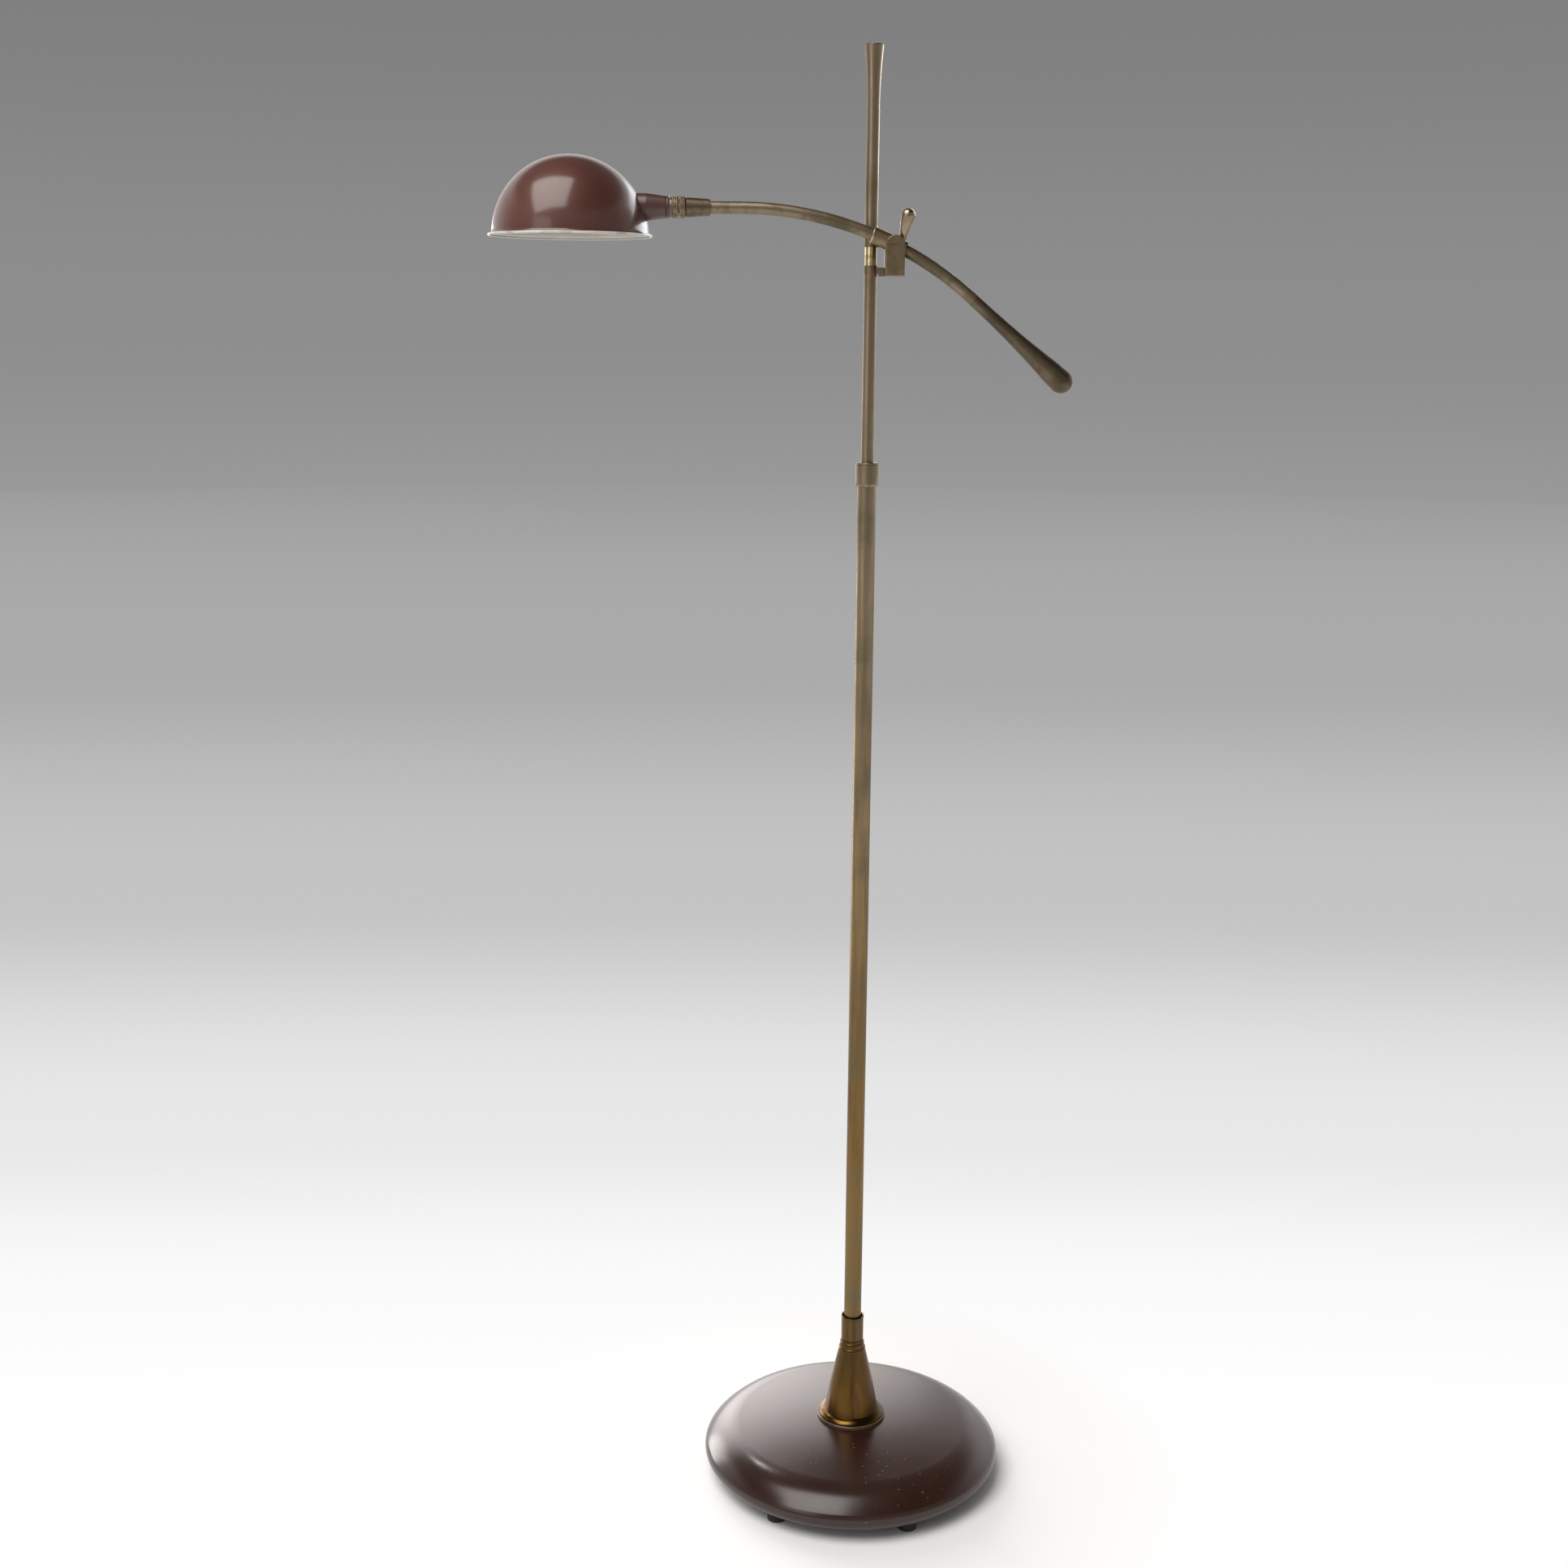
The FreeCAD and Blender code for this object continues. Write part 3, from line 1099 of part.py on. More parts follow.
def neck_pieces():
    hub_length = cap_start() - hub_start()
    collar_end = hub_length + cap_collar_width
    plug_end = collar_end + cap_plug_length
    plug_radius = neck_small_radius - neck_wall - fixed_fit
    bore = spigot_radius + running
    finish(turned("cap_turning", [
        (bore, 0),
        (hub_radius, 0),
        (hub_radius, hub_length),
        (cap_collar_radius, hub_length),
        (cap_collar_radius, collar_end),
        (plug_radius, collar_end),
        (plug_radius, plug_end),
        (bore, plug_end),
    ], forward(hub_start()), FORWARD), "neck_end_cap")
    half = bead_width / 2
    flank = bead_radius - bead_round + root(bead_round * bead_round - half * half)
    finish(turned("bead_turning", [
        (plug_radius + fixed_fit, 0),
        (flank, 0, bead_round),
        (flank, bead_width),
        (plug_radius + fixed_fit, bead_width),
    ], forward(cap_start() + cap_collar_width), FORWARD), "neck_bead_ring")
    inner_small = neck_small_radius - neck_wall
    inner_big = neck_big_radius - neck_wall
    finish(turned("neck_turning", [
        (inner_small, 0),
        (neck_small_radius, 0),
        (neck_big_radius, neck_taper_length),
        (neck_big_radius, neck_length),
        (inner_big, neck_length),
        (inner_big, neck_taper_length),
    ], forward(neck_start()), FORWARD), "neck_cover")
    clip_start = hub_start() + plug_end + fixed_fit
    finish(tube("clip_ring", clip_radius, spigot_radius + fixed_fit, clip_thickness,
                forward(clip_start), FORWARD), "spigot_clip")
    lock_start = neck_start() + neck_length - lock_ring_width
    finish(tube("lock_ring", lock_ring_radius, neck_big_radius + fixed_fit, lock_ring_width,
                forward(lock_start), FORWARD), "shade_lock_ring")


def lamp_pieces():
    holder_start = spigot_end + 1 + face_gap
    holder_radius = neck_big_radius - neck_wall - fixed_fit
    length = holder_end - holder_start
    well = bulb_cap_radius + bulb_cap_gap
    taper_end = neck_start() + neck_taper_length - holder_start
    finish(turned("holder_turning", [
        (0, 0),
        (holder_start_radius, 0),
        (holder_radius, taper_end),
        (holder_radius, length),
        (well, length),
        (well, holder_floor),
        (0, holder_floor),
    ], forward(holder_start), FORWARD), "lamp_holder")
    well_floor = holder_start + holder_floor
    contact = cylinder("contact_body", contact_radius, contact_height, forward(well_floor), FORWARD)
    finish(contact, "lamp_contact")
    cap_foot = well_floor + contact_height + fixed_fit
    tip = contact_radius
    finish(turned("bulb_cap_turning", [
        (0, 0),
        (tip, 0),
        (bulb_cap_radius, tip),
        (bulb_cap_radius, bulb_cap_length),
        (0, bulb_cap_length),
    ], forward(cap_foot), FORWARD), "bulb_cap")
    neck = bulb_cap_radius - 0.3
    globe_centre = bulb_neck_length + root(bulb_radius * bulb_radius - neck * neck)
    finish(turned("bulb_glass_turning", [
        (0, 0),
        (neck, 0),
        (neck, bulb_neck_length, bulb_radius),
        (bulb_radius, globe_centre, bulb_radius),
        (0, globe_centre + bulb_radius),
    ], forward(cap_foot + bulb_cap_length + fixed_fit), FORWARD), "bulb_glass")


def shade():
    """The domed shade, with a flared rim rolled round a bead, and the neck's hole in its side."""
    inner = shade_radius - shade_wall
    centre = rim_bead
    flare = rim_flare_height + centre
    outer_foot = root(shade_radius * shade_radius - rim_flare_height * rim_flare_height)
    inner_foot = root(inner * inner - rim_flare_height * rim_flare_height)
    body = turned("shade_turning", [
        (0, centre + inner),
        (0, centre + shade_radius, -shade_radius),
        (outer_foot, flare, rim_flare_radius),
        (rim_radius - rim_bead, centre + shade_wall / 2),
        (rim_radius - rim_bead, centre - shade_wall / 2, -(rim_flare_radius + shade_wall)),
        (inner_foot, flare, inner),
    ])
    roll = DOC.addObject("Part::Torus", "shade_rim_roll")
    bind(roll, "Radius1", rim_radius - rim_bead)
    bind(roll, "Radius2", rim_bead)
    place(roll, (0, 0, centre))
    x, y, z = forward(shade_reach)
    reach = (x, y, z - shade_drop - centre)
    whole = join("shade_whole", body, roll)
    place(whole, reach)
    hole = cylinder(
        "shade_neck_hole", neck_big_radius + fixed_fit, shade_radius * 1.2, (x, y, z), about("y", 90))
    finish(cut("shade_cut", whole, hole), "shade")


def write_parts():
    """Checks every object and every sub-part, and then writes each sub-part's shape."""
    DOC.recompute()
    failed = [item.Name for item in DOC.Objects if "Invalid" in item.State or "Error" in item.State]
    for item in PARTS:
        shape = item.Shape
        if shape.isNull() or not shape.isValid() or not shape.Solids:
            failed.append(item.Label)
    if failed:
        raise RuntimeError("these objects failed: " + ", ".join(failed))
    os.makedirs("parts", exist_ok=True)
    for item in PARTS:
        item.Shape.exportStep(os.path.join("parts", f"{item.Label}.step"))
        bounds = item.Shape.optimalBoundingBox(False, False)
        print(f"{item.Label}: {len(item.Shape.Solids)} solids, {item.Shape.Volume:.1f} mm3,"
              f" Z {bounds.ZMin:.2f} to {bounds.ZMax:.2f}")


base_shell()
base_weight()
bottom_cover()
feet()
cord_inlet()
base_lead()
foot_ring()
stem_cone()
cone_cup()
tie_rod()
lower_stem()
clutch_collar()
upper_stem()
swivel()
stem_top()
arm_bracket()
arm_barrel()
pivot_screws()
clamp_screw()
arm()
counterweight()
swivel_pieces()
neck_pieces()
lamp_pieces()
shade()
write_parts()
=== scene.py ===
import math

import bmesh
import bpy
from bpy.props import FloatProperty, FloatVectorProperty, IntProperty, PointerProperty
from mathutils import Matrix, Quaternion, Vector


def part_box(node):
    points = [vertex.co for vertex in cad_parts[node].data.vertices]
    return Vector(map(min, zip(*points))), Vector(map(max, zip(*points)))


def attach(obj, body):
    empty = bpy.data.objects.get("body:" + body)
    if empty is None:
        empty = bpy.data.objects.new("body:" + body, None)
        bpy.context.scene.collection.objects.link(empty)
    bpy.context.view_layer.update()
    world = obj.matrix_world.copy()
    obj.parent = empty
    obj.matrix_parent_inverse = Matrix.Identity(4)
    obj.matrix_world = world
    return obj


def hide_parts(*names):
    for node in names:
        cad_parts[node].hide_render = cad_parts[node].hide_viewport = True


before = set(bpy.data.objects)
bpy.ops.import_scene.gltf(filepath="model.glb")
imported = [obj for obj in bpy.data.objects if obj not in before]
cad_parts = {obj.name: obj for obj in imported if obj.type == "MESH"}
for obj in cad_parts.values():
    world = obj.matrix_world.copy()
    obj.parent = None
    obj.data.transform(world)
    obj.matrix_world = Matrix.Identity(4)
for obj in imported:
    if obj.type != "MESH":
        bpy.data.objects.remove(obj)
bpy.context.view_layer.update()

bl_info = {
    "name": "Cantilever Floor Lamp",
    "version": (1, 0, 0),
    "blender": (4, 5, 0),
    "location": "View3D > Sidebar > Floor Lamp",
    "description": "Dresses a floor lamp with a curved counterbalanced arm and a domed shade",
    "category": "Add Mesh",
}

# Nodes by the finish that they wear
DRAWN_NODES = ("lower_stem_tube", "clutch_collar", "upper_stem_tube", "top_stem_tube", "finial_ring",
               "finial")
BENT_NODES = ("arm_tube", "neck_end_cap")
DARK_NODES = ("stem_plug", "core_plug", "arm_bracket", "arm_barrel", "pivot_screws", "swivel_spigot",
              "lamp_contact", "clamp_screw")
DULL_NODES = ("counterweight", "arm_ferrule")
STEEL_NODES = ("foot_screws", "tie_rod", "tie_washer", "tie_nut", "swivel_core", "pivot_washer",
               "spigot_clip", "shade_lock_ring")
FIBRE_NODES = ("clutch_collet", "guide_bush", "swivel_washers", "clamp_pad")
LEAD_NODES = ("base_lead", "upper_lead", "arm_lead")
BUSH_NODES = ("stem_outlet_bush", "arm_inlet_bush")
FOOT_NODES = tuple(f"rubber_foot_{number}" for number in range(1, 7))


def length(name, words, default):
    return FloatProperty(name=name, description=words, default=default, min=0.0, unit="LENGTH")


def colour(name, words, default):
    return FloatVectorProperty(
        name=name, description=words, default=default, size=3, min=0.0, max=1.0, subtype="COLOR")


class LampSizes(bpy.types.PropertyGroup):
    """Sizes of the pieces that are made here"""

    shade_radius: length("Shade radius", "Outer radius of the domed shade", 0.0771)
    shade_wall: length("Shade wall", "Sheet thickness of the shade", 0.001)
    rim_radius: length("Rim radius", "Outer radius of the shade's rim", 0.081)
    rim_flare_height: length("Flare height", "Height of the flare above the rim", 0.0046)
    rim_flare_radius: length("Flare radius", "Radius of the flare's hollow", 0.005)
    rim_bead: length("Rim bead", "Radius of the rim's rolled edge", 0.0013)
    neck_radius: length("Neck radius", "Radius of the neck where it enters the shade", 0.0135)
    knurl_depth: length("Knurl depth", "Depth of the cuts in the knurled rings", 0.0006)
    knurl_count: IntProperty(
        name="Knurl count", description="Cuts round a knurled ring", default=34, min=8)
    barrel_slope: FloatProperty(
        name="Barrel slope", description="Slope of the arm at its pivot", default=math.radians(25.6),
        subtype="ANGLE")
    thread_pitch: length("Thread pitch", "Pitch of the thread on the bulb's cap", 0.00282)
    thread_depth: length("Thread depth", "Depth of the thread on the bulb's cap", 0.0007)


class LampColours(bpy.types.PropertyGroup):
    """Colours of the lamp's finishes"""

    enamel: colour("Enamel", "Burgundy enamel of the shade", (0.100, 0.030, 0.019))
    enamel_dark: colour("Dark enamel", "Darker patches of the shade's enamel", (0.066, 0.020, 0.013))
    base_enamel: colour("Base enamel", "Darker brown enamel of the base", (0.035, 0.0120, 0.0072))
    marks: colour("Marks", "Dust, scuffs and chips in the enamel", (0.20, 0.15, 0.125))
    # Painted shade: the lining's two colours are darker than clean white enamel, for the shade inside
    # the shade
    lining: colour("Lining", "White enamel inside the shade", (0.60, 0.585, 0.545))
    lining_smoked: colour("Smoked lining", "Lining where it is yellowed", (0.52, 0.49, 0.43))
    rim: colour("Rim", "White enamel on the shade's rolled edge", (0.66, 0.63, 0.58))
    rim_rubbed: colour("Rubbed rim", "Rolled edge where it is rubbed", (0.50, 0.44, 0.39))
    brass: colour("Aged brass", "Clean brass low on the lamp", (0.225, 0.138, 0.052))
    brown: colour("Brown patina", "Brown patina low on the lamp", (0.140, 0.082, 0.030))
    # Painted light: the brass high on the lamp is lighter and greyer, to make up for the light that
    # reaches it less there
    brass_high_painted_light: colour("Grey brass", "Clean brass high on the lamp", (0.345, 0.276, 0.186))
    brown_high_painted_light: colour("Grey patina", "Patina high on the lamp", (0.232, 0.174, 0.118))
    olive: colour("Olive patina", "Patches of olive patina", (0.170, 0.140, 0.080))
    copper: colour("Copper", "Coppery streaks", (0.270, 0.175, 0.120))
    polished: colour("Polished brass", "Bright sleeve between the bracket's rings", (0.68, 0.57, 0.31))
    polished_rubbed: colour("Rubbed sleeve", "Duller streaks of the bright sleeve", (0.42, 0.32, 0.15))
    glass: colour("Glass", "Frosted glass of the bulb", (0.86, 0.85, 0.81))
    glass_haze: colour("Hazy glass", "Darker haze in the bulb's glass", (0.80, 0.78, 0.73))


# Node trees

MIX_FIRST, MIX_SECOND, MIX_RESULT = 6, 7, 2  # a Mix node's two colour inputs and its colour output


def put(tree, kind, inputs=None, **settings):
    """Adds a node with its settings, and feeds its inputs with numbers, colours or other outputs."""
    node = tree.nodes.new(kind)
    for key, value in settings.items():
        setattr(node, key, value)
    for key, value in (inputs or {}).items():
        socket = node.inputs[key]
        if isinstance(value, bpy.types.NodeSocket):
            tree.links.new(value, socket)
        elif socket.type == "RGBA":
            socket.default_value = (*value, 1.0)
        else:
            socket.default_value = value
    return node


def ramp(tree, source, stops):
    """A tone from a number: each stop is (position, grey or colour), in rising order."""
    node = put(tree, "ShaderNodeValToRGB", {0: source})
    node.color_ramp.interpolation = "EASE"
    elements = node.color_ramp.elements
    for index, (position, tone) in enumerate(stops):
        if index == 0:
            element = elements[0]
        elif index == len(stops) - 1:
            element = elements[-1]
        else:
            element = elements.new(position)
        element.position = position
        element.color = (tone, tone, tone, 1.0) if isinstance(tone, float) else (*tone, 1.0)
    return node.outputs[0]


def ray_switch(tree, *kinds):
    """1 for the named kinds of ray and 0 for the others."""
    path = put(tree, "ShaderNodeLightPath")
    total = path.outputs[kinds[0]]
    for kind in kinds[1:]:
        larger = put(tree, "ShaderNodeMath", {0: total, 1: path.outputs[kind]}, operation="MAXIMUM")
        total = larger.outputs[0]
    return total


# Finishes

# Painted light: the brass turns lighter and greyer with height, where less light from the floor
# reaches it
PAINTED_LIFT_START = 0.35  # height in metres up to which the brass is golden
PAINTED_LIFT_FULL = 1.25  # height in metres from which it is grey
SPOT_CORE = 0.6  # share of a spot's radius that is solid
SCUFF_SHARE = 0.5  # strength of scuffs beside dust and chips
MARK_HEIGHT = 2.0  # how far marks stand up beside the orange peel
COPPER_SHARE = 0.6
WORN_FAR, WORN_NEAR = 0.12, 0.05  # metres from a worn spot over which marks grow to full strength
WORN_LEAST = 0.12  # strength of marks beyond that
EVEN = (1, 1, 1)  # neither stretched nor tinted
DRAWN = (1, 1, 0.06)  # draws a pattern out along an upright tube
SPUN = (1, 1, 0.05)


class Finish:
    """A material under construction: a few calls that add its nodes."""

    def __init__(self, name, **values):
        self.material = bpy.data.materials.new(name)
        self.material.use_nodes = True
        self.tree = self.material.node_tree
        self.shader = self.tree.nodes["Principled BSDF"]
        self.place = put(self.tree, "ShaderNodeTexCoord").outputs["Object"]
        for key, value in values.items():
            self.shader.inputs[key.replace("_", " ")].default_value = value

    def noise(self, scale, detail=3.0, roughness=0.5, stretch=EVEN, distortion=0.0):
        """Cloudy noise between 0 and 1; a stretch below 1 draws it out along that axis."""
        stretched = put(self.tree, "ShaderNodeMapping", {"Vector": self.place, "Scale": stretch})
        return put(self.tree, "ShaderNodeTexNoise", {
            "Vector": stretched.outputs["Vector"], "Scale": scale, "Detail": detail,
            "Roughness": roughness, "Distortion": distortion}).outputs["Fac"]

    def band(self, source, low, high, start=0.0, end=1.0):
        """A soft step from start, where the source is low, to end, where it is high."""
        return put(self.tree, "ShaderNodeMapRange", {
            "Value": source, "From Min": low, "From Max": high, "To Min": start, "To Max": end},
            interpolation_type="SMOOTHSTEP").outputs["Result"]

    def patches(self, scale, low, high, **more):
        """Noise cut into patches with soft edges: 0 below low and 1 above high."""
        return self.band(self.noise(scale, **more), low, high)

    def spots(self, scale, size):
        """Small round spots, 1 inside and 0 outside, of a size given as a share of the spacing."""
        cells = put(self.tree, "ShaderNodeTexVoronoi", {"Vector": self.place, "Scale": scale})
        return self.band(cells.outputs["Distance"], size, size * SPOT_CORE)

    def reckon(self, kind, first, second):
        """A sum, a product or the larger of two values."""
        return put(self.tree, "ShaderNodeMath", {0: first, 1: second}, operation=kind).outputs["Value"]

    def mix(self, factor, first, second):
        """The first colour where the factor is 0, and the second where it is 1."""
        return put(self.tree, "ShaderNodeMix", {
            "Factor": factor, MIX_FIRST: first, MIX_SECOND: second},
            data_type="RGBA").outputs[MIX_RESULT]

    def vary(self, socket, source):
        self.tree.links.new(source, self.shader.inputs[socket])

    def paint(self, source):
        self.vary("Base Color", source)

    def bump(self, source, depth):
        relief = put(self.tree, "ShaderNodeBump", {"Height": source, "Distance": depth})
        self.vary("Normal", relief.outputs["Normal"])


def enamel(name, colours, tint, dark, worn, blur, coat=1.5, under=0.25, worn_spot=None):
    """Glossy stove enamel with a slight orange peel, clouded patches, dust, scuffs and small chips.

    worn is how strongly the marks show, blur the roughness of the gloss, coat its index, under the
    shine of the paint below it, and worn_spot the place where the marks are strongest.
    """
    finish = Finish(name, Roughness=0.5, Specular_IOR_Level=under,
                    Coat_Weight=1.0, Coat_Roughness=blur, Coat_IOR=coat)
    body = finish.mix(finish.patches(scale=9.0, low=0.35, high=0.7, detail=4), dark, tint)
    dust = finish.reckon("MULTIPLY", finish.spots(scale=130, size=0.12),
                         finish.patches(scale=14, low=0.46, high=0.60))
    chips = finish.reckon("MULTIPLY", finish.spots(scale=60, size=0.075),
                          finish.patches(scale=9, low=0.48, high=0.58))
    scuffs = finish.reckon(
        "MULTIPLY",
        finish.patches(scale=120, low=0.66, high=0.74, detail=5, stretch=(1, 2.2, 1), distortion=1.5),
        finish.patches(scale=11, low=0.56, high=0.64))
    marks = finish.reckon("MAXIMUM", dust, finish.reckon("MULTIPLY", scuffs, SCUFF_SHARE))
    marks = finish.reckon("MULTIPLY", finish.reckon("MAXIMUM", marks, chips), worn)
    if worn_spot:
        apart = put(finish.tree, "ShaderNodeVectorMath", {0: finish.place, 1: worn_spot},
                    operation="DISTANCE")
        nearness = finish.band(apart.outputs["Value"], WORN_FAR, WORN_NEAR, start=WORN_LEAST)
        marks = finish.reckon("MULTIPLY", marks, nearness)
    finish.paint(finish.mix(marks, body, colours.marks))
    haze = finish.noise(scale=5.0, detail=6, roughness=0.65)
    finish.vary("Coat Roughness",
                finish.band(haze, low=0.3, high=0.75, start=blur - 0.03, end=blur + 0.05))
    peel = finish.noise(scale=330, detail=1.5)
    raised = finish.reckon("MULTIPLY", marks, MARK_HEIGHT)
    finish.bump(finish.reckon("ADD", peel, raised), depth=0.00003)
    return finish.material


def lining_enamel(colours):
    """White enamel inside the shade, a little yellowed and smoked, and darkened as painted shade."""
    finish = Finish("white_lining_painted_shade", Roughness=0.38, Coat_Weight=0.3, Coat_Roughness=0.2)
    smoke = finish.patches(scale=22, low=0.35, high=0.75, detail=5)
    finish.paint(finish.mix(smoke, colours.lining, colours.lining_smoked))
    finish.bump(finish.noise(scale=260), depth=0.00003)
    return finish.material


def rim_enamel(colours):
    """The rolled edge, where the white enamel wraps round and is rubbed."""
    finish = Finish("rim_enamel", Roughness=0.30, Coat_Weight=0.6, Coat_Roughness=0.15)
    rub = finish.patches(scale=60, low=0.52, high=0.66, detail=4)
    finish.paint(finish.mix(rub, colours.rim, colours.rim_rubbed))
    finish.bump(finish.noise(scale=400), depth=0.00002)
    return finish.material


def aged_brass(name, colours, shade, rough, along=EVEN, tint=EVEN):
    """Unlacquered brass with patina and draw lines, golden low and lighter and greyer higher up as
    painted light.

    shade and tint scale its colours, rough is its roughness, and along stretches its pattern.
    """
    def shaded(patina):
        return tuple(shade * part * share for part, share in zip(patina, tint))

    finish = Finish(name, Metallic=1.0)
    # Painted light: with height the colours blend to lighter, greyer ones, standing in for light
    height = put(finish.tree, "ShaderNodeSeparateXYZ", {0: finish.place}).outputs["Z"]
    painted_lift = finish.band(height, PAINTED_LIFT_START, PAINTED_LIFT_FULL)
    clean = finish.mix(painted_lift, shaded(colours.brass), shaded(colours.brass_high_painted_light))
    brown = finish.mix(painted_lift, shaded(colours.brown), shaded(colours.brown_high_painted_light))
    streaks = finish.noise(scale=70, detail=5, roughness=0.6, stretch=along, distortion=0.4)
    clouds = finish.noise(scale=17, detail=4)
    body = finish.mix(finish.band(streaks, low=0.38, high=0.66), clean, brown)
    body = finish.mix(finish.band(clouds, low=0.45, high=0.72), body, shaded(colours.olive))
    copper = finish.patches(scale=31, low=0.54, high=0.72, detail=3, stretch=along)
    copper = finish.reckon("MULTIPLY", copper, COPPER_SHARE)
    finish.paint(finish.mix(copper, body, shaded(colours.copper)))
    uneven = finish.reckon("ADD", streaks, clouds)
    finish.vary("Roughness",
                finish.band(uneven, low=0.7, high=1.3, start=rough - 0.06, end=rough + 0.10))
    finish.bump(finish.noise(scale=900, detail=1, stretch=along), depth=0.00002)
    return finish.material


def polished_brass(colours):
    """The sleeve that the bracket keeps bright."""
    finish = Finish("polished_brass", Metallic=1.0)
    rub = finish.noise(scale=60, detail=3, stretch=(1, 1, 4))
    streaks = finish.band(rub, low=0.4, high=0.7)
    finish.paint(finish.mix(streaks, colours.polished, colours.polished_rubbed))
    finish.vary("Roughness", finish.band(rub, low=0.3, high=0.8, start=0.20, end=0.30))
    finish.bump(finish.noise(scale=700, stretch=(1, 1, 5)), depth=0.00001)
    return finish.material


def plain_finish(name, first, second, scale, rough, metallic=0.0, depth=0.00005, grain=220):
    """A worked surface of two near tones: castings, sheet steel, rubber, fibre and sheaths."""
    finish = Finish(name, Metallic=metallic)
    tone = finish.noise(scale, detail=4)
    finish.paint(finish.mix(finish.band(tone, low=0.35, high=0.68), first, second))
    finish.vary("Roughness",
                finish.band(tone, low=0.3, high=0.7, start=rough - 0.06, end=rough + 0.08))
    finish.bump(finish.noise(grain, detail=3), depth)
    return finish.material


def bulb_frost(colours):
    """Satin-white glass of the bulb."""
    finish = Finish("bulb_frost", Roughness=0.35, Transmission_Weight=0.25, IOR=1.5,
                    Coat_Weight=0.4, Coat_Roughness=0.12)
    finish.paint(finish.mix(finish.noise(scale=30, detail=2), colours.glass, colours.glass_haze))
    finish.bump(finish.noise(scale=500), depth=0.00001)
    return finish.material


def wear(item, *finishes):
    """Puts finishes into the slots of a piece, or of a node given by its name."""
    if isinstance(item, str):
        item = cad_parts[item]
    if item.data.materials:  # a new piece has none, and a clear would undo the slots of its faces
        item.data.materials.clear()
    for finish in finishes:
        item.data.materials.append(finish)


# Meshes

ON_AXIS = 1e-6  # a row nearer to the axis than this is one point
SHARP_ANGLE = math.radians(35)
ROUND_SEGMENTS = 96


def arc(centre, radius, start, end, steps):
    """Points of an arc, as (distance from the axis, height), between two angles in degrees."""
    points = []
    for step in range(steps + 1):
        angle = math.radians(start + (end - start) * step / steps)
        points.append((centre[0] + radius * math.cos(angle), centre[1] + radius * math.sin(angle)))
    return points


def hollow(start, end, radius, steps):
    """Points of an arc between two points of an outline, with its centre above them."""
    middle = Vector(((start[0] + end[0]) / 2, (start[1] + end[1]) / 2))
    chord = Vector((end[0] - start[0], end[1] - start[1]))
    rise = math.sqrt(max(radius * radius - chord.length_squared / 4, 0.0))
    across = Vector((-chord[1], chord[0])).normalized()
    centre = middle + across * rise
    if centre[1] < middle[1]:
        centre = middle - across * rise
    first = math.atan2(start[1] - centre[1], start[0] - centre[0])
    last = math.atan2(end[1] - centre[1], end[0] - centre[0])
    if last - first > math.pi:
        last -= math.tau
    if first - last > math.pi:
        last += math.tau
    points = []
    for step in range(1, steps):
        angle = first + (last - first) * step / steps
        points.append((centre[0] + radius * math.cos(angle), centre[1] + radius * math.sin(angle)))
    return [tuple(start), *points, tuple(end)]


def turned_piece(name, rows, segments, matrix, slot_of=None, wave=None, closed=True):
    """A turned piece: each row is (radius, height), and wave may move a point by its angle and row."""
    mesh = bmesh.new()
    rings = []
    for index, (radius, height) in enumerate(rows):
        if radius < ON_AXIS:
            rings.append([mesh.verts.new(matrix @ Vector((0, 0, height)))])
            continue
        ring = []
        for segment in range(segments):
            angle = math.tau * segment / segments
            far = radius + (wave(angle, index, height) if wave else 0.0)
            point = Vector((far * math.cos(angle), far * math.sin(angle), height))
            ring.append(mesh.verts.new(matrix @ point))
        rings.append(ring)
    pairs = list(zip(range(len(rings)), range(1, len(rings))))
    if closed and len(rings[0]) > 1:
        pairs.append((len(rings) - 1, 0))
    for low, high in pairs:
        first, second = rings[low], rings[high]
        for segment in range(segments):
            following = (segment + 1) % segments
            if len(first) == 1:
                corners = (first[0], second[following], second[segment])
            elif len(second) == 1:
                corners = (first[segment], first[following], second[0])
            else:
                corners = (first[segment], first[following], second[following], second[segment])
            face = mesh.faces.new(corners)
            face.smooth = True
            face.material_index = slot_of(low) if slot_of else 0
    bmesh.ops.recalc_face_normals(mesh, faces=mesh.faces)
    for edge in mesh.edges:
        if len(edge.link_faces) == 2 and edge.calc_face_angle() > SHARP_ANGLE:
            edge.smooth = False
    data = bpy.data.meshes.new(name)
    mesh.to_mesh(data)
    mesh.free()
    piece = bpy.data.objects.new(name, data)
    bpy.context.scene.collection.objects.link(piece)
    return piece


def cut_away(piece, tool):
    """Cuts the tool's form out of a piece and removes the tool."""
    modifier = piece.modifiers.new("cut", "BOOLEAN")
    modifier.operation = "DIFFERENCE"
    modifier.solver = "EXACT"
    modifier.object = tool
    bpy.context.view_layer.update()
    graph = bpy.context.evaluated_depsgraph_get()
    data = bpy.data.meshes.new_from_object(piece.evaluated_get(graph))
    if not data.polygons:
        raise RuntimeError(f"cutting {tool.name} left nothing of {piece.name}")
    piece.modifiers.clear()
    piece.data = data
    bpy.data.objects.remove(tool)


def towards(axis, spot):
    """The place of a turned piece whose axis points along a direction."""
    turn = Vector((0, 0, 1)).rotation_difference(Vector(axis))
    return Matrix.Translation(Vector(spot)) @ turn.to_matrix().to_4x4()


def right_end(node):
    """The width and radius of a round node that lies along x, and the centre of its right end."""
    low, high = (Vector(corner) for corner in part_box(node))
    spot = (high[0], (low[1] + high[1]) / 2, (low[2] + high[2]) / 2)
    return high[0] - low[0], (high[2] - low[2]) / 2, spot


# Pieces, with lengths in metres

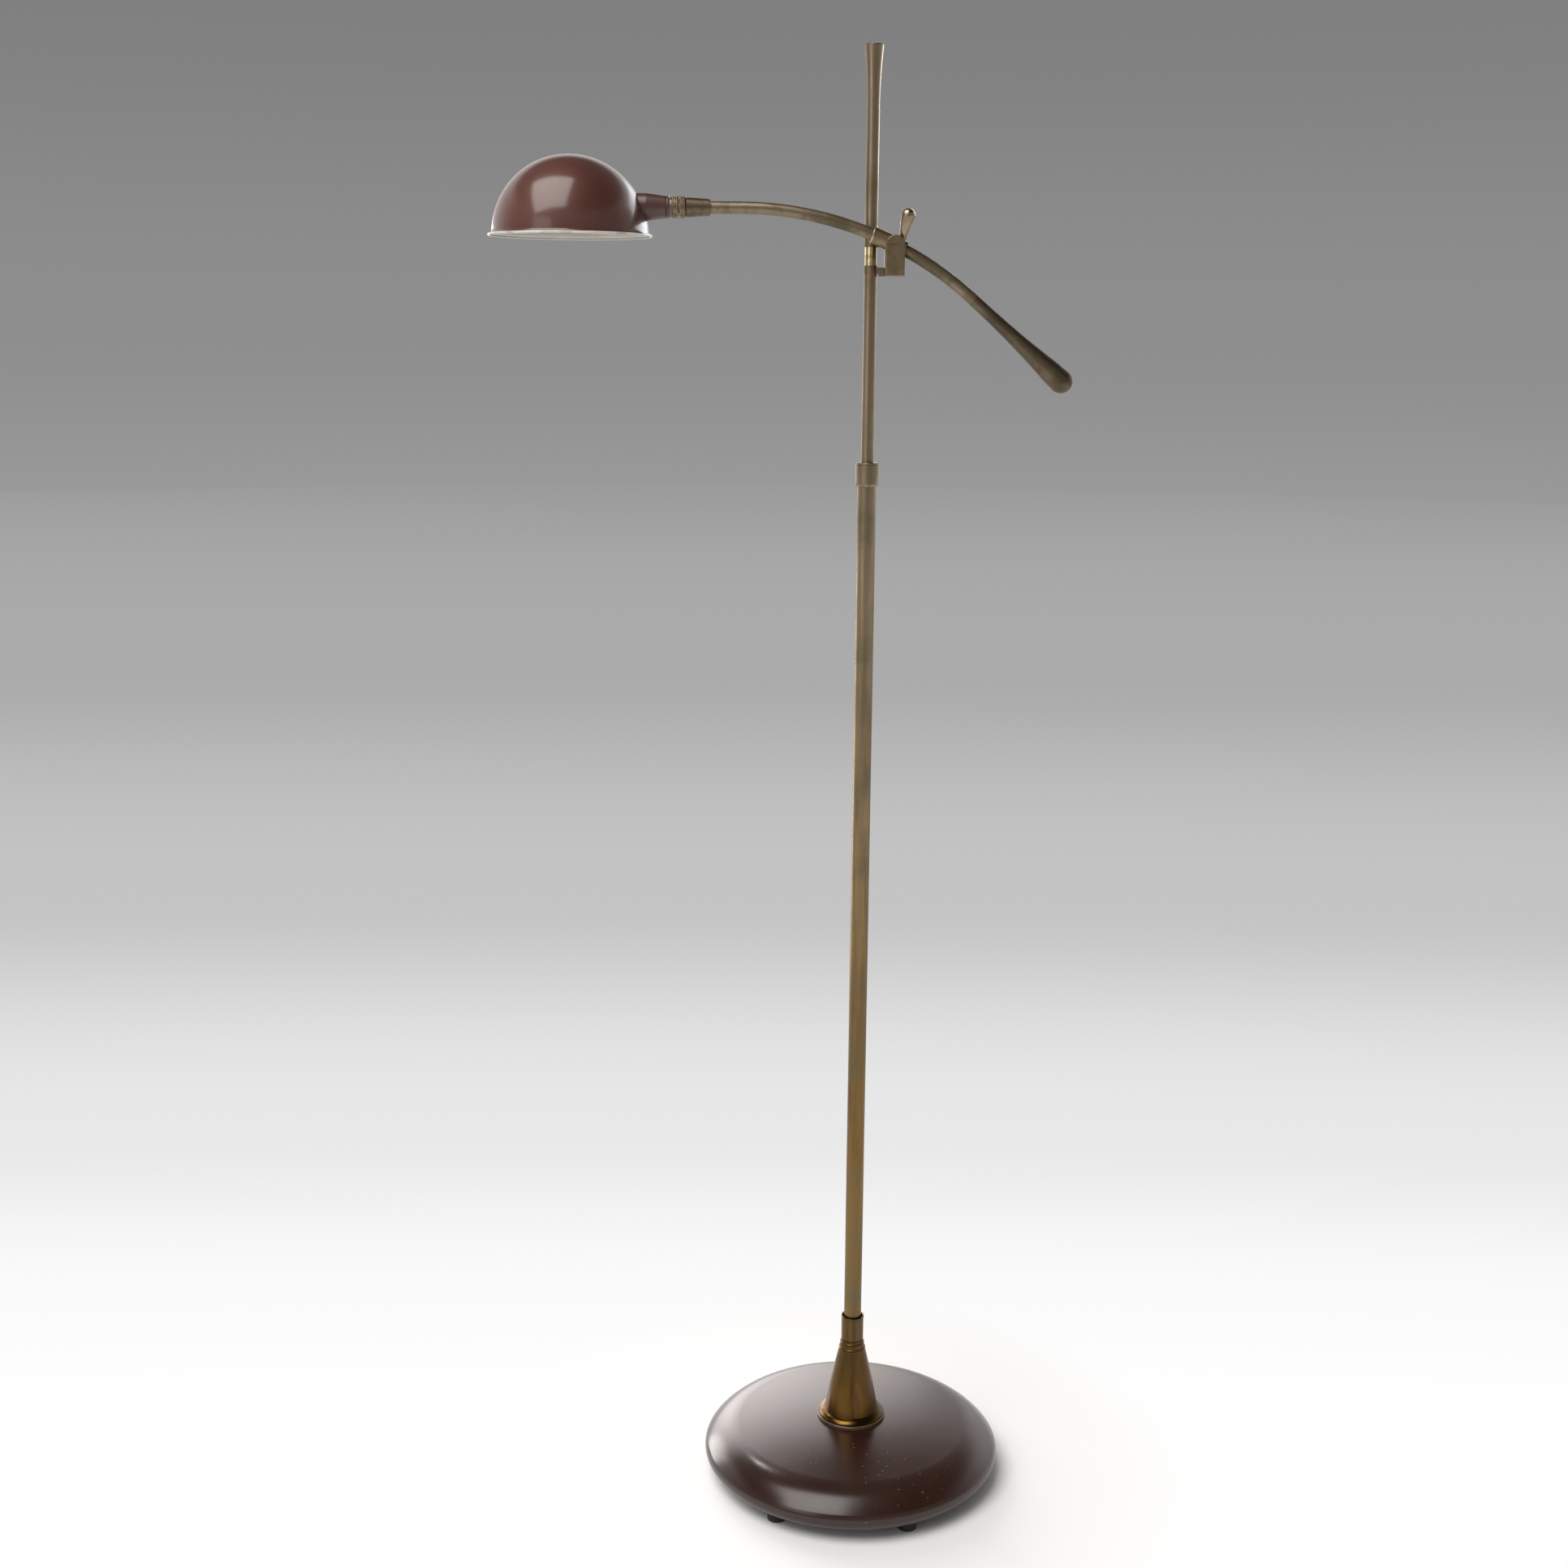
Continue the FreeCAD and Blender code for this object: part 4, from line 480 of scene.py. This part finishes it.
SHADE_SEGMENTS = 224
DOME_TOP, DOME_STEPS = 89, 60  # degrees up to which the dome is drawn as an arc, and its steps
FLARE_STEPS = 8
BEAD_OPENING, BEAD_STEPS = 155, 22  # degrees each way to which the edge is rolled, and its steps
NECK_CLEARANCE = 0.00003
NECK_TOOL_REACH = 0.09  # from the shade's axis out past its wall

KNURL_SEGMENTS = 12  # to each cut
KNURL_STEPS = 22
KNURL_SLANT = 2.2  # spacings by which a cut slants from edge to edge
KNURL_CREST = 1.5  # above 1 leaves the crests flat
RING_BEVEL = 0.0007

# The arm's bend: its centre (x, z), its radius and the plane (y) in which it lies
ARM_BEND_X, ARM_BEND_Z = -0.126993, 1.026023
ARM_BEND_RADIUS = 0.3476
ARM_PLANE = -0.016
BARREL_RADIUS = 0.0084
BARREL_LEFT, BARREL_RIGHT = math.radians(4.05), math.radians(1.75)  # round the bend from pivot to end
RIM_INSET = math.radians(0.15)
RIM_FOOT, RIM_HALF_WIDTH = 0.0082, 0.0011
RIM_SHOULDER, RIM_SHOULDER_SHARE = 0.001, 0.7  # half-width there, and the share of the rim's stand
RIM_CROWN = 0.0006

CAP_SEGMENTS = 72
CAP_FLAT = 0.003  # radius of the cap's flat end
CAP_CORNER_STEPS = 6
CAP_SHOULDER = 0.0006  # from the rounded corner to the thread
CAP_LIP, CAP_CHAMFER = 0.0005, 0.0002
THREAD_STEPS = 120
THREAD_RUN_IN, THREAD_RUN_OUT = 0.003, 0.0045

BASE_DARK_SHARE = 0.7  # darker patches beside the base's enamel
BASE_WORN_SPOT = (0.01, -0.085, 0.05)


class LAMP_OT_base(bpy.types.Operator):
    """Enamel the domed base and finish what stands in it and under it"""

    bl_idname = "floor_lamp.base"
    bl_label = "Domed base"

    def execute(self, context):
        colours = context.scene.lamp_colours
        dark = tuple(BASE_DARK_SHARE * part for part in colours.base_enamel)
        wear("base_shell", enamel("base_enamel", colours, colours.base_enamel, dark, worn=1.0,
                                  blur=0.23, coat=1.55, under=0.02, worn_spot=BASE_WORN_SPOT))
        wear("cone_foot_ring", plain_finish("foot_ring", (0.11, 0.066, 0.038), (0.08, 0.05, 0.03),
                                            scale=60, rough=0.30))
        wear("base_weight", plain_finish("cast_iron", (0.06, 0.055, 0.05), (0.12, 0.08, 0.06),
                                         scale=30, rough=0.75, metallic=0.2, depth=0.0004, grain=160))
        wear("bottom_cover", plain_finish("black_steel", (0.022, 0.021, 0.020), (0.045, 0.040, 0.036),
                                          scale=18, rough=0.45, depth=0.00004))
        wear("cord_inlet_bush", plain_finish("black_bush", (0.02, 0.02, 0.02), (0.03, 0.03, 0.03),
                                             scale=40, rough=0.4))
        rubber = plain_finish("black_rubber", (0.016, 0.016, 0.016), (0.035, 0.034, 0.032),
                              scale=60, rough=0.8, depth=0.0001, grain=300)
        for node in FOOT_NODES:
            wear(node, rubber)
        return {"FINISHED"}


class LAMP_OT_metalwork(bpy.types.Operator):
    """Give the stem, the arm and the fittings their aged brass"""

    bl_idname = "floor_lamp.metalwork"
    bl_label = "Brass work"

    def execute(self, context):
        colours = context.scene.lamp_colours
        for nodes, name, look in (
                (DRAWN_NODES, "drawn_brass", dict(shade=1.0, rough=0.36, along=DRAWN)),
                (("cone_cup",), "spun_brass", dict(shade=0.62, rough=0.30, along=SPUN)),
                (("stem_cone",), "golden_brass",
                 dict(shade=0.60, rough=0.26, along=SPUN, tint=(0.95, 0.80, 0.56))),
                (BENT_NODES, "bent_brass", dict(shade=0.72, rough=0.46)),
                (DARK_NODES, "dark_brass", dict(shade=0.74, rough=0.42, tint=(1.05, 1.0, 0.92))),
                (DULL_NODES, "dull_brass", dict(shade=0.50, rough=0.40)),
                (("clamp_handle",), "handled_brass", dict(shade=1.05, rough=0.30))):
            brass = aged_brass(name, colours, **look)
            for node in nodes:
                wear(node, brass)
        wear("polished_sleeve", polished_brass(colours))
        return {"FINISHED"}


class LAMP_OT_inner_parts(bpy.types.Operator):
    """Finish the steel, fibre and plastic pieces inside the lamp"""

    bl_idname = "floor_lamp.inner_parts"
    bl_label = "Inner parts"

    def execute(self, context):
        for nodes, name, first, second, look in (
                (STEEL_NODES, "zinc_steel", (0.50, 0.50, 0.49), (0.38, 0.38, 0.38),
                 dict(scale=50, rough=0.35, metallic=1.0, depth=0.00002, grain=500)),
                (FIBRE_NODES, "fibre", (0.30, 0.13, 0.06), (0.20, 0.085, 0.04),
                 dict(scale=90, rough=0.6)),
                (LEAD_NODES, "lead_sheath", (0.07, 0.05, 0.03), (0.10, 0.07, 0.045),
                 dict(scale=80, rough=0.5)),
                (BUSH_NODES, "small_bush", (0.02, 0.02, 0.02), (0.03, 0.03, 0.03),
                 dict(scale=40, rough=0.4)),
                (("lamp_holder",), "holder_body", (0.70, 0.67, 0.60), (0.60, 0.56, 0.48),
                 dict(scale=40, rough=0.35))):
            finish = plain_finish(name, first, second, **look)
            for node in nodes:
                wear(node, finish)
        return {"FINISHED"}


class LAMP_OT_shade(bpy.types.Operator):
    """Spin the domed shade with its flared rim, rolled edge and white lining"""

    bl_idname = "floor_lamp.shade"
    bl_label = "Domed shade"

    def execute(self, context):
        sizes = context.scene.lamp_sizes
        colours = context.scene.lamp_colours
        low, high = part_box("shade")
        centre = Vector(((low[0] + high[0]) / 2, (low[1] + high[1]) / 2, low[2]))
        outer = sizes.shade_radius
        inner = outer - sizes.shade_wall
        bead = sizes.rim_bead
        half_wall = sizes.shade_wall / 2
        rim = sizes.rim_radius - bead
        outer_foot = math.asin(sizes.rim_flare_height / outer)
        inner_foot = math.asin(sizes.rim_flare_height / inner)
        foot_height = sizes.rim_flare_height + bead
        rows = [(0.0, bead + outer)]
        rows += arc((0, bead), outer, DOME_TOP, math.degrees(outer_foot), DOME_STEPS)
        rows += hollow((outer * math.cos(outer_foot), foot_height), (rim, bead + half_wall),
                       sizes.rim_flare_radius, FLARE_STEPS)
        outside = len(rows) - 2
        rows += arc((rim, bead), bead, BEAD_OPENING, -BEAD_OPENING, BEAD_STEPS)
        rolled = len(rows) - 1
        rows += reversed(hollow((inner * math.cos(inner_foot), foot_height), (rim, bead - half_wall),
                                sizes.rim_flare_radius + sizes.shade_wall, FLARE_STEPS))
        rows += arc((0, bead), inner, math.degrees(inner_foot), DOME_TOP, DOME_STEPS)
        rows.append((0.0, bead + inner))
        piece = turned_piece(
            "shade_dome", rows, SHADE_SEGMENTS, Matrix.Translation(centre),
            slot_of=lambda row: 0 if row < outside else (1 if row < rolled else 2), closed=False)
        paint = dict(colours=colours, tint=colours.enamel, dark=colours.enamel_dark, worn=0.2)
        wear(piece, enamel("shade_enamel", blur=0.17, **paint), rim_enamel(colours),
             lining_enamel(colours))
        neck_low, neck_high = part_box("neck_cover")
        hole = sizes.neck_radius + NECK_CLEARANCE
        drill = [(0, 0), (hole, 0), (hole, NECK_TOOL_REACH), (0, NECK_TOOL_REACH)]
        spot = (centre[0], centre[1], (neck_low[2] + neck_high[2]) / 2)
        tool = turned_piece("neck_hole", drill, ROUND_SEGMENTS, towards((1, 0, 0), spot))
        cut_away(piece, tool)
        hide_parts("shade")
        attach(piece, "head")
        neck_paint = enamel("neck_enamel", blur=0.32, **paint)
        wear("neck_cover", neck_paint)
        wear("neck_bead_ring", neck_paint)
        return {"FINISHED"}


class LAMP_OT_knurled_rings(bpy.types.Operator):
    """Cut the diamond knurl into the swivel nut and the switch ring"""

    bl_idname = "floor_lamp.knurled_rings"
    bl_label = "Knurled rings"

    def execute(self, context):
        sizes = context.scene.lamp_sizes
        finish = aged_brass("knurled_brass", context.scene.lamp_colours, shade=0.76, rough=0.28)
        count = sizes.knurl_count
        for node, body, bore in (
                ("swivel_nut", "swivel_nut", 0.00406),
                ("switch_ring", "switch", 0.00606)):
            width, radius, spot = right_end(node)
            rows = [(bore, 0), (radius - RING_BEVEL, 0)]
            first_cut = len(rows)
            for step in range(KNURL_STEPS + 1):
                rows.append((radius, RING_BEVEL + (width - 2 * RING_BEVEL) * step / KNURL_STEPS))
            cut_rows = range(first_cut, len(rows))
            rows += [(radius - RING_BEVEL, width), (bore, width)]

            def wave(angle, row, height, cut_rows=cut_rows, width=width):
                if row not in cut_rows:
                    return 0.0
                turn = count * angle / 2
                slant = math.pi * height / width * KNURL_SLANT
                ridge = abs(math.sin(turn + slant)) * abs(math.sin(turn - slant))
                return -sizes.knurl_depth * (1 - min(1.0, ridge * KNURL_CREST))

            piece = turned_piece(f"{node}_knurled", rows, count * KNURL_SEGMENTS,
                                 towards((-1, 0, 0), spot), wave=wave)
            wear(piece, finish)
            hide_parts(node)
            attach(piece, body)
        return {"FINISHED"}


class LAMP_OT_barrel_rims(bpy.types.Operator):
    """Turn the beads at the two ends of the barrel, in brass painted bright as rubbed metal and as a
    highlight
    """

    bl_idname = "floor_lamp.barrel_rims"
    bl_label = "Barrel rims"

    def execute(self, context):
        pivot = context.scene.lamp_sizes.barrel_slope
        # Painted highlight: the beads' brass is lightened well above the rest, partly rubbed metal and
        # partly a painted highlight
        finish = aged_brass("rubbed_brass_painted_highlight", context.scene.lamp_colours, shade=1.6, rough=0.28)
        for name, angle, stand in (
                ("barrel_rim_left", pivot - BARREL_LEFT + RIM_INSET, 0.0006),
                ("barrel_rim_right", pivot + BARREL_RIGHT - RIM_INSET, 0.00025)):
            across, along = math.sin(angle), math.cos(angle)
            spot = (ARM_BEND_X + ARM_BEND_RADIUS * across, ARM_PLANE,
                    ARM_BEND_Z + ARM_BEND_RADIUS * along)
            half = [(RIM_FOOT, RIM_HALF_WIDTH),
                    (BARREL_RADIUS + stand * RIM_SHOULDER_SHARE, RIM_SHOULDER),
                    (BARREL_RADIUS + stand, RIM_CROWN)]
            rows = [(radius, -height) for radius, height in half] + half[::-1]
            piece = turned_piece(name, rows, ROUND_SEGMENTS, towards((along, 0, -across), spot))
            wear(piece, finish)
            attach(piece, "barrel")
        return {"FINISHED"}


class LAMP_OT_bulb(bpy.types.Operator):
    """Roll the thread into the bulb's cap and frost its glass"""

    bl_idname = "floor_lamp.bulb"
    bl_label = "Bulb"

    def execute(self, context):
        pitch = context.scene.lamp_sizes.thread_pitch
        depth = context.scene.lamp_sizes.thread_depth
        reach, radius, spot = right_end("bulb_cap")
        corner = radius - CAP_FLAT
        rows = [(0, 0), (CAP_FLAT, 0)]
        rows += arc((CAP_FLAT, corner), corner - depth, -90, 0, CAP_CORNER_STEPS)
        start = rows[-1][1] + CAP_SHOULDER
        first_turn = len(rows)
        for step in range(THREAD_STEPS + 1):
            rows.append((radius, start + (reach - CAP_LIP - start) * step / THREAD_STEPS))
        thread_rows = range(first_turn, len(rows))
        rows += [(radius - CAP_CHAMFER, reach), (0, reach)]

        def wave(angle, row, height):
            if row not in thread_rows:
                return 0.0
            fade = min(1.0, (height - start) / THREAD_RUN_IN, (reach - height) / THREAD_RUN_OUT)
            return depth * max(0.0, fade) * (0.5 * math.cos(math.tau * height / pitch - angle) - 0.5)

        piece = turned_piece("bulb_cap_threaded", rows, CAP_SEGMENTS, towards((-1, 0, 0), spot),
                             wave=wave, closed=False)
        wear(piece, plain_finish("tinned_cap", (0.62, 0.61, 0.59), (0.50, 0.48, 0.45),
                                 scale=70, rough=0.3, metallic=1.0, depth=0.00002, grain=600))
        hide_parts("bulb_cap")
        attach(piece, "head")
        wear("bulb_glass", bulb_frost(context.scene.lamp_colours))
        return {"FINISHED"}


# Stage

FLOOR_FIRST_RING, FLOOR_RING_GROWTH, FLOOR_RINGS = 0.2, 1.27, 19  # each ring is that much larger
# Painted light: the floor's tones are a painted pool of light that fades from a spot in front of the
# lamp
FLOOR_NARROWING = (0.35, 1.0, 1.0)  # draws the bright part of the floor out sideways
FLOOR_LIGHT_POOL_SPOT = (0.0, -1.2, 0.0)
FLOOR_REACH = 17.7  # metres from the bright spot to the last tone
FLOOR_LIGHT_POOL_TONES = ((0.0, 1.0), (0.075, 1.0), (0.09, 0.965), (0.124, 0.807), (0.2, 0.552), (0.373, 0.407),
               (1.0, 0.32))
SHADOW_FADE = (0.22, 0.42)  # metres from the lamp between which the floor stops taking its shadow

# Tones by the direction of sight: its rise (Z) or depth (Y), a span of that, and the tones over it
BACKDROP = ("Z", (-0.1, 0.4), ((0.0, 0.33), (0.2, 0.27), (0.5, 0.216), (1.0, 0.17)))
ROOM_RISE = ("Z", (-0.2, 1.0), (
    (0.0, (0.95, 0.92, 0.90)), (0.57, (0.90, 0.87, 0.85)), (0.68, 0.08), (1.0, 0.08)))
ROOM_DEPTH = ("Y", (-1.0, 1.0), ((0.0, 0.36), (0.4, 0.36), (0.8, 1.0), (1.0, 1.0)))
AMBIENT_TINT, AMBIENT_STRENGTH = (1.0, 0.995, 0.985), 0.25

WARM, COOL, PLAIN = (1.0, 0.97, 0.94), (0.90, 0.94, 1.0), (1.0, 0.95, 0.93)
SHADE_FRONT = (-0.29, -0.075, 1.38)
# Lamps: power in watts, turn and spread in degrees
SOFTBOXES = (
    dict(name="overhead_softbox", spot=(-1.71, -1.655, 4.77), aim=SHADE_FRONT, width=3.48, height=3.80,
         power=190, tint=WARM, turn=29),
    dict(name="front_softbox", spot=(-1.74, -2.0, 1.55), aim=(-0.1, 0.0, 1.3), width=1.2, height=1.5,
         power=7.5, tint=WARM),
    dict(name="window_right", spot=(3.63, 4.56, 2.05), aim=(0.0, 0.0, 1.2), width=4.4, height=2.1,
         power=11, tint=COOL),
    dict(name="head_softbox", spot=(0.06, 0.335, 1.50), aim=SHADE_FRONT, width=0.43, height=0.24,
         power=0.185, tint=COOL, spread=76),
    dict(name="window_back", spot=(-0.62, 1.75, 0.72), aim=(0.0, 0.0, 0.05), width=2.2, height=1.6,
         power=6.0, tint=PLAIN, spread=60),
    dict(name="window_left", spot=(-1.25, 1.05, 0.45), aim=(0.0, 0.0, 0.3), width=0.6, height=0.8,
         power=1.15, tint=PLAIN, spread=60),
    dict(name="back_lamp", spot=(-0.35, 0.385, 0.645), aim=(-0.115, -0.104, 0.041),
         width=0.05, height=0.05, power=0.30, tint=WARM),
)

CAMERA_SPOT = (-0.0819, -2.0977, 1.2572)
CAMERA_PITCH, CAMERA_ROLL = math.radians(12.573), math.radians(0.502)  # down, and over to its left
PHOTO_SIDE = 1932  # pixels
FOCAL_PIXELS = 2512  # focal length in the photograph's pixels
SENSOR_WIDTH = 36.0  # millimetres


def floor_paper():
    """White paper under the lamp with a painted pool of light that fades with distance, and that keeps
    the lamp's shadow.
    """
    material = bpy.data.materials.new("floor_paper")
    material.use_nodes = True
    tree = material.node_tree
    tree.nodes.clear()
    place = put(tree, "ShaderNodeTexCoord").outputs["Object"]
    narrow = put(tree, "ShaderNodeMapping", {"Vector": place, "Scale": FLOOR_NARROWING})
    far = put(tree, "ShaderNodeVectorMath", {0: narrow.outputs["Vector"], 1: FLOOR_LIGHT_POOL_SPOT},
              operation="DISTANCE")
    share = put(tree, "ShaderNodeMath", {0: far.outputs["Value"], 1: FLOOR_REACH}, operation="DIVIDE")
    tone = ramp(tree, share.outputs[0], FLOOR_LIGHT_POOL_TONES)
    diffuse = put(tree, "ShaderNodeBsdfDiffuse", {"Color": tone}).outputs[0]
    # Painted light: the floor glows with its pool of light for the rays that see it
    painted_light_glow = put(tree, "ShaderNodeEmission", {"Color": tone}).outputs[0]
    apart = put(tree, "ShaderNodeVectorMath", {0: place}, operation="LENGTH").outputs["Value"]
    fade = put(tree, "ShaderNodeMapRange", {
        "Value": apart, "From Min": SHADOW_FADE[0], "From Max": SHADOW_FADE[1]},
        interpolation_type="SMOOTHSTEP").outputs["Result"]
    seen = put(tree, "ShaderNodeMixShader", {0: fade, 1: diffuse, 2: painted_light_glow}).outputs[0]
    switch = ray_switch(tree, "Is Camera Ray", "Is Glossy Ray", "Is Transmission Ray")
    shown = put(tree, "ShaderNodeMixShader", {0: switch, 1: diffuse, 2: seen}).outputs[0]
    put(tree, "ShaderNodeOutputMaterial", {0: shown})
    return material


def studio_world():
    """Soft ambient light, the grey backdrop that is seen, and a room that metal and glass mirror."""
    world = bpy.data.worlds.new("studio")
    bpy.context.scene.world = world
    world.use_nodes = True
    tree = world.node_tree
    tree.nodes.clear()
    way = put(tree, "ShaderNodeTexCoord").outputs["Generated"]
    parts = put(tree, "ShaderNodeSeparateXYZ", {0: way}).outputs

    def graded(axis, span, tones):
        share = put(tree, "ShaderNodeMapRange", {
            "Value": parts[axis], "From Min": span[0], "From Max": span[1]})
        return ramp(tree, share.outputs["Result"], tones)

    def light(tint, strength=1.0):
        return put(tree, "ShaderNodeBackground", {"Color": tint, "Strength": strength}).outputs[0]

    backdrop = graded(*BACKDROP)
    room = put(tree, "ShaderNodeMix", {
        "Factor": 1.0, MIX_FIRST: graded(*ROOM_RISE), MIX_SECOND: graded(*ROOM_DEPTH)},
        data_type="RGBA", blend_type="MULTIPLY").outputs[MIX_RESULT]
    mirrored = ray_switch(tree, "Is Glossy Ray", "Is Transmission Ray")
    unseen = put(tree, "ShaderNodeMixShader", {
        0: mirrored, 1: light(AMBIENT_TINT, AMBIENT_STRENGTH), 2: light(room)}).outputs[0]
    shown = put(tree, "ShaderNodeMixShader", {
        0: ray_switch(tree, "Is Camera Ray"), 1: unseen, 2: light(backdrop)}).outputs[0]
    put(tree, "ShaderNodeOutputWorld", {0: shown})


def softbox(name, spot, aim, width, height, power, tint, turn=0.0, spread=180.0):
    """A rectangular lamp that points at a spot, turned about its beam, with a grid's spread."""
    light = bpy.data.lights.new(name, "AREA")
    light.shape = "RECTANGLE"
    light.size = width
    light.size_y = height
    light.energy = power
    light.color = tint
    light.spread = math.radians(spread)
    item = bpy.data.objects.new(name, light)
    bpy.context.scene.collection.objects.link(item)
    item.location = spot
    item.rotation_mode = "QUATERNION"
    beam = (Vector(aim) - Vector(spot)).to_track_quat("-Z", "Y")
    item.rotation_quaternion = beam @ Quaternion((0, 0, 1), math.radians(turn))
    item.visible_camera = False


def photo_camera():
    """The camera at the photograph's viewing angle."""
    data = bpy.data.cameras.new("camera")
    data.sensor_width = SENSOR_WIDTH
    data.lens = SENSOR_WIDTH * FOCAL_PIXELS / PHOTO_SIDE
    camera = bpy.data.objects.new("camera", data)
    bpy.context.scene.collection.objects.link(camera)
    ahead = Vector((0, math.cos(CAMERA_PITCH), -math.sin(CAMERA_PITCH)))
    above = Vector((0, math.sin(CAMERA_PITCH), math.cos(CAMERA_PITCH)))
    side = Vector((math.cos(CAMERA_ROLL), 0, 0)) + above * math.sin(CAMERA_ROLL)
    up = above * math.cos(CAMERA_ROLL) - Vector((math.sin(CAMERA_ROLL), 0, 0))
    turn = Matrix((side, up, -ahead)).transposed().to_4x4()
    camera.matrix_world = Matrix.Translation(CAMERA_SPOT) @ turn
    bpy.context.scene.camera = camera


class LAMP_OT_stage(bpy.types.Operator):
    """Lay the pale floor, hang the softboxes and set up the camera"""

    bl_idname = "floor_lamp.stage"
    bl_label = "Floor, light and camera"

    def execute(self, context):
        rings = [(FLOOR_FIRST_RING * FLOOR_RING_GROWTH ** step, 0) for step in range(FLOOR_RINGS)]
        floor = turned_piece("floor", [(0, 0), *rings], ROUND_SEGMENTS, Matrix.Identity(4),
                             closed=False)
        wear(floor, floor_paper())
        studio_world()
        for box in SOFTBOXES:
            softbox(**box)
        photo_camera()
        context.scene.view_settings.view_transform = "Standard"
        return {"FINISHED"}


OPERATORS = (
    LAMP_OT_base,
    LAMP_OT_metalwork,
    LAMP_OT_inner_parts,
    LAMP_OT_shade,
    LAMP_OT_knurled_rings,
    LAMP_OT_barrel_rims,
    LAMP_OT_bulb,
    LAMP_OT_stage,
)


class LAMP_PT_pieces(bpy.types.Panel):
    """Lists the lamp's pieces in the sidebar"""

    bl_idname = "LAMP_PT_pieces"
    bl_label = "Floor Lamp"
    bl_space_type = "VIEW_3D"
    bl_region_type = "UI"
    bl_category = "Floor Lamp"

    def draw(self, context):
        for operator in OPERATORS:
            self.layout.operator(operator.bl_idname)


CLASSES = (LampSizes, LampColours, *OPERATORS, LAMP_PT_pieces)


def register():
    for kind in CLASSES:
        bpy.utils.register_class(kind)
    bpy.types.Scene.lamp_sizes = PointerProperty(type=LampSizes)
    bpy.types.Scene.lamp_colours = PointerProperty(type=LampColours)


def unregister():
    del bpy.types.Scene.lamp_colours
    del bpy.types.Scene.lamp_sizes
    for kind in reversed(CLASSES):
        bpy.utils.unregister_class(kind)


def main():
    register()
    for operator in OPERATORS:
        group, name = operator.bl_idname.split(".")
        getattr(getattr(bpy.ops, group), name)()


if __name__ == "__main__":
    main()
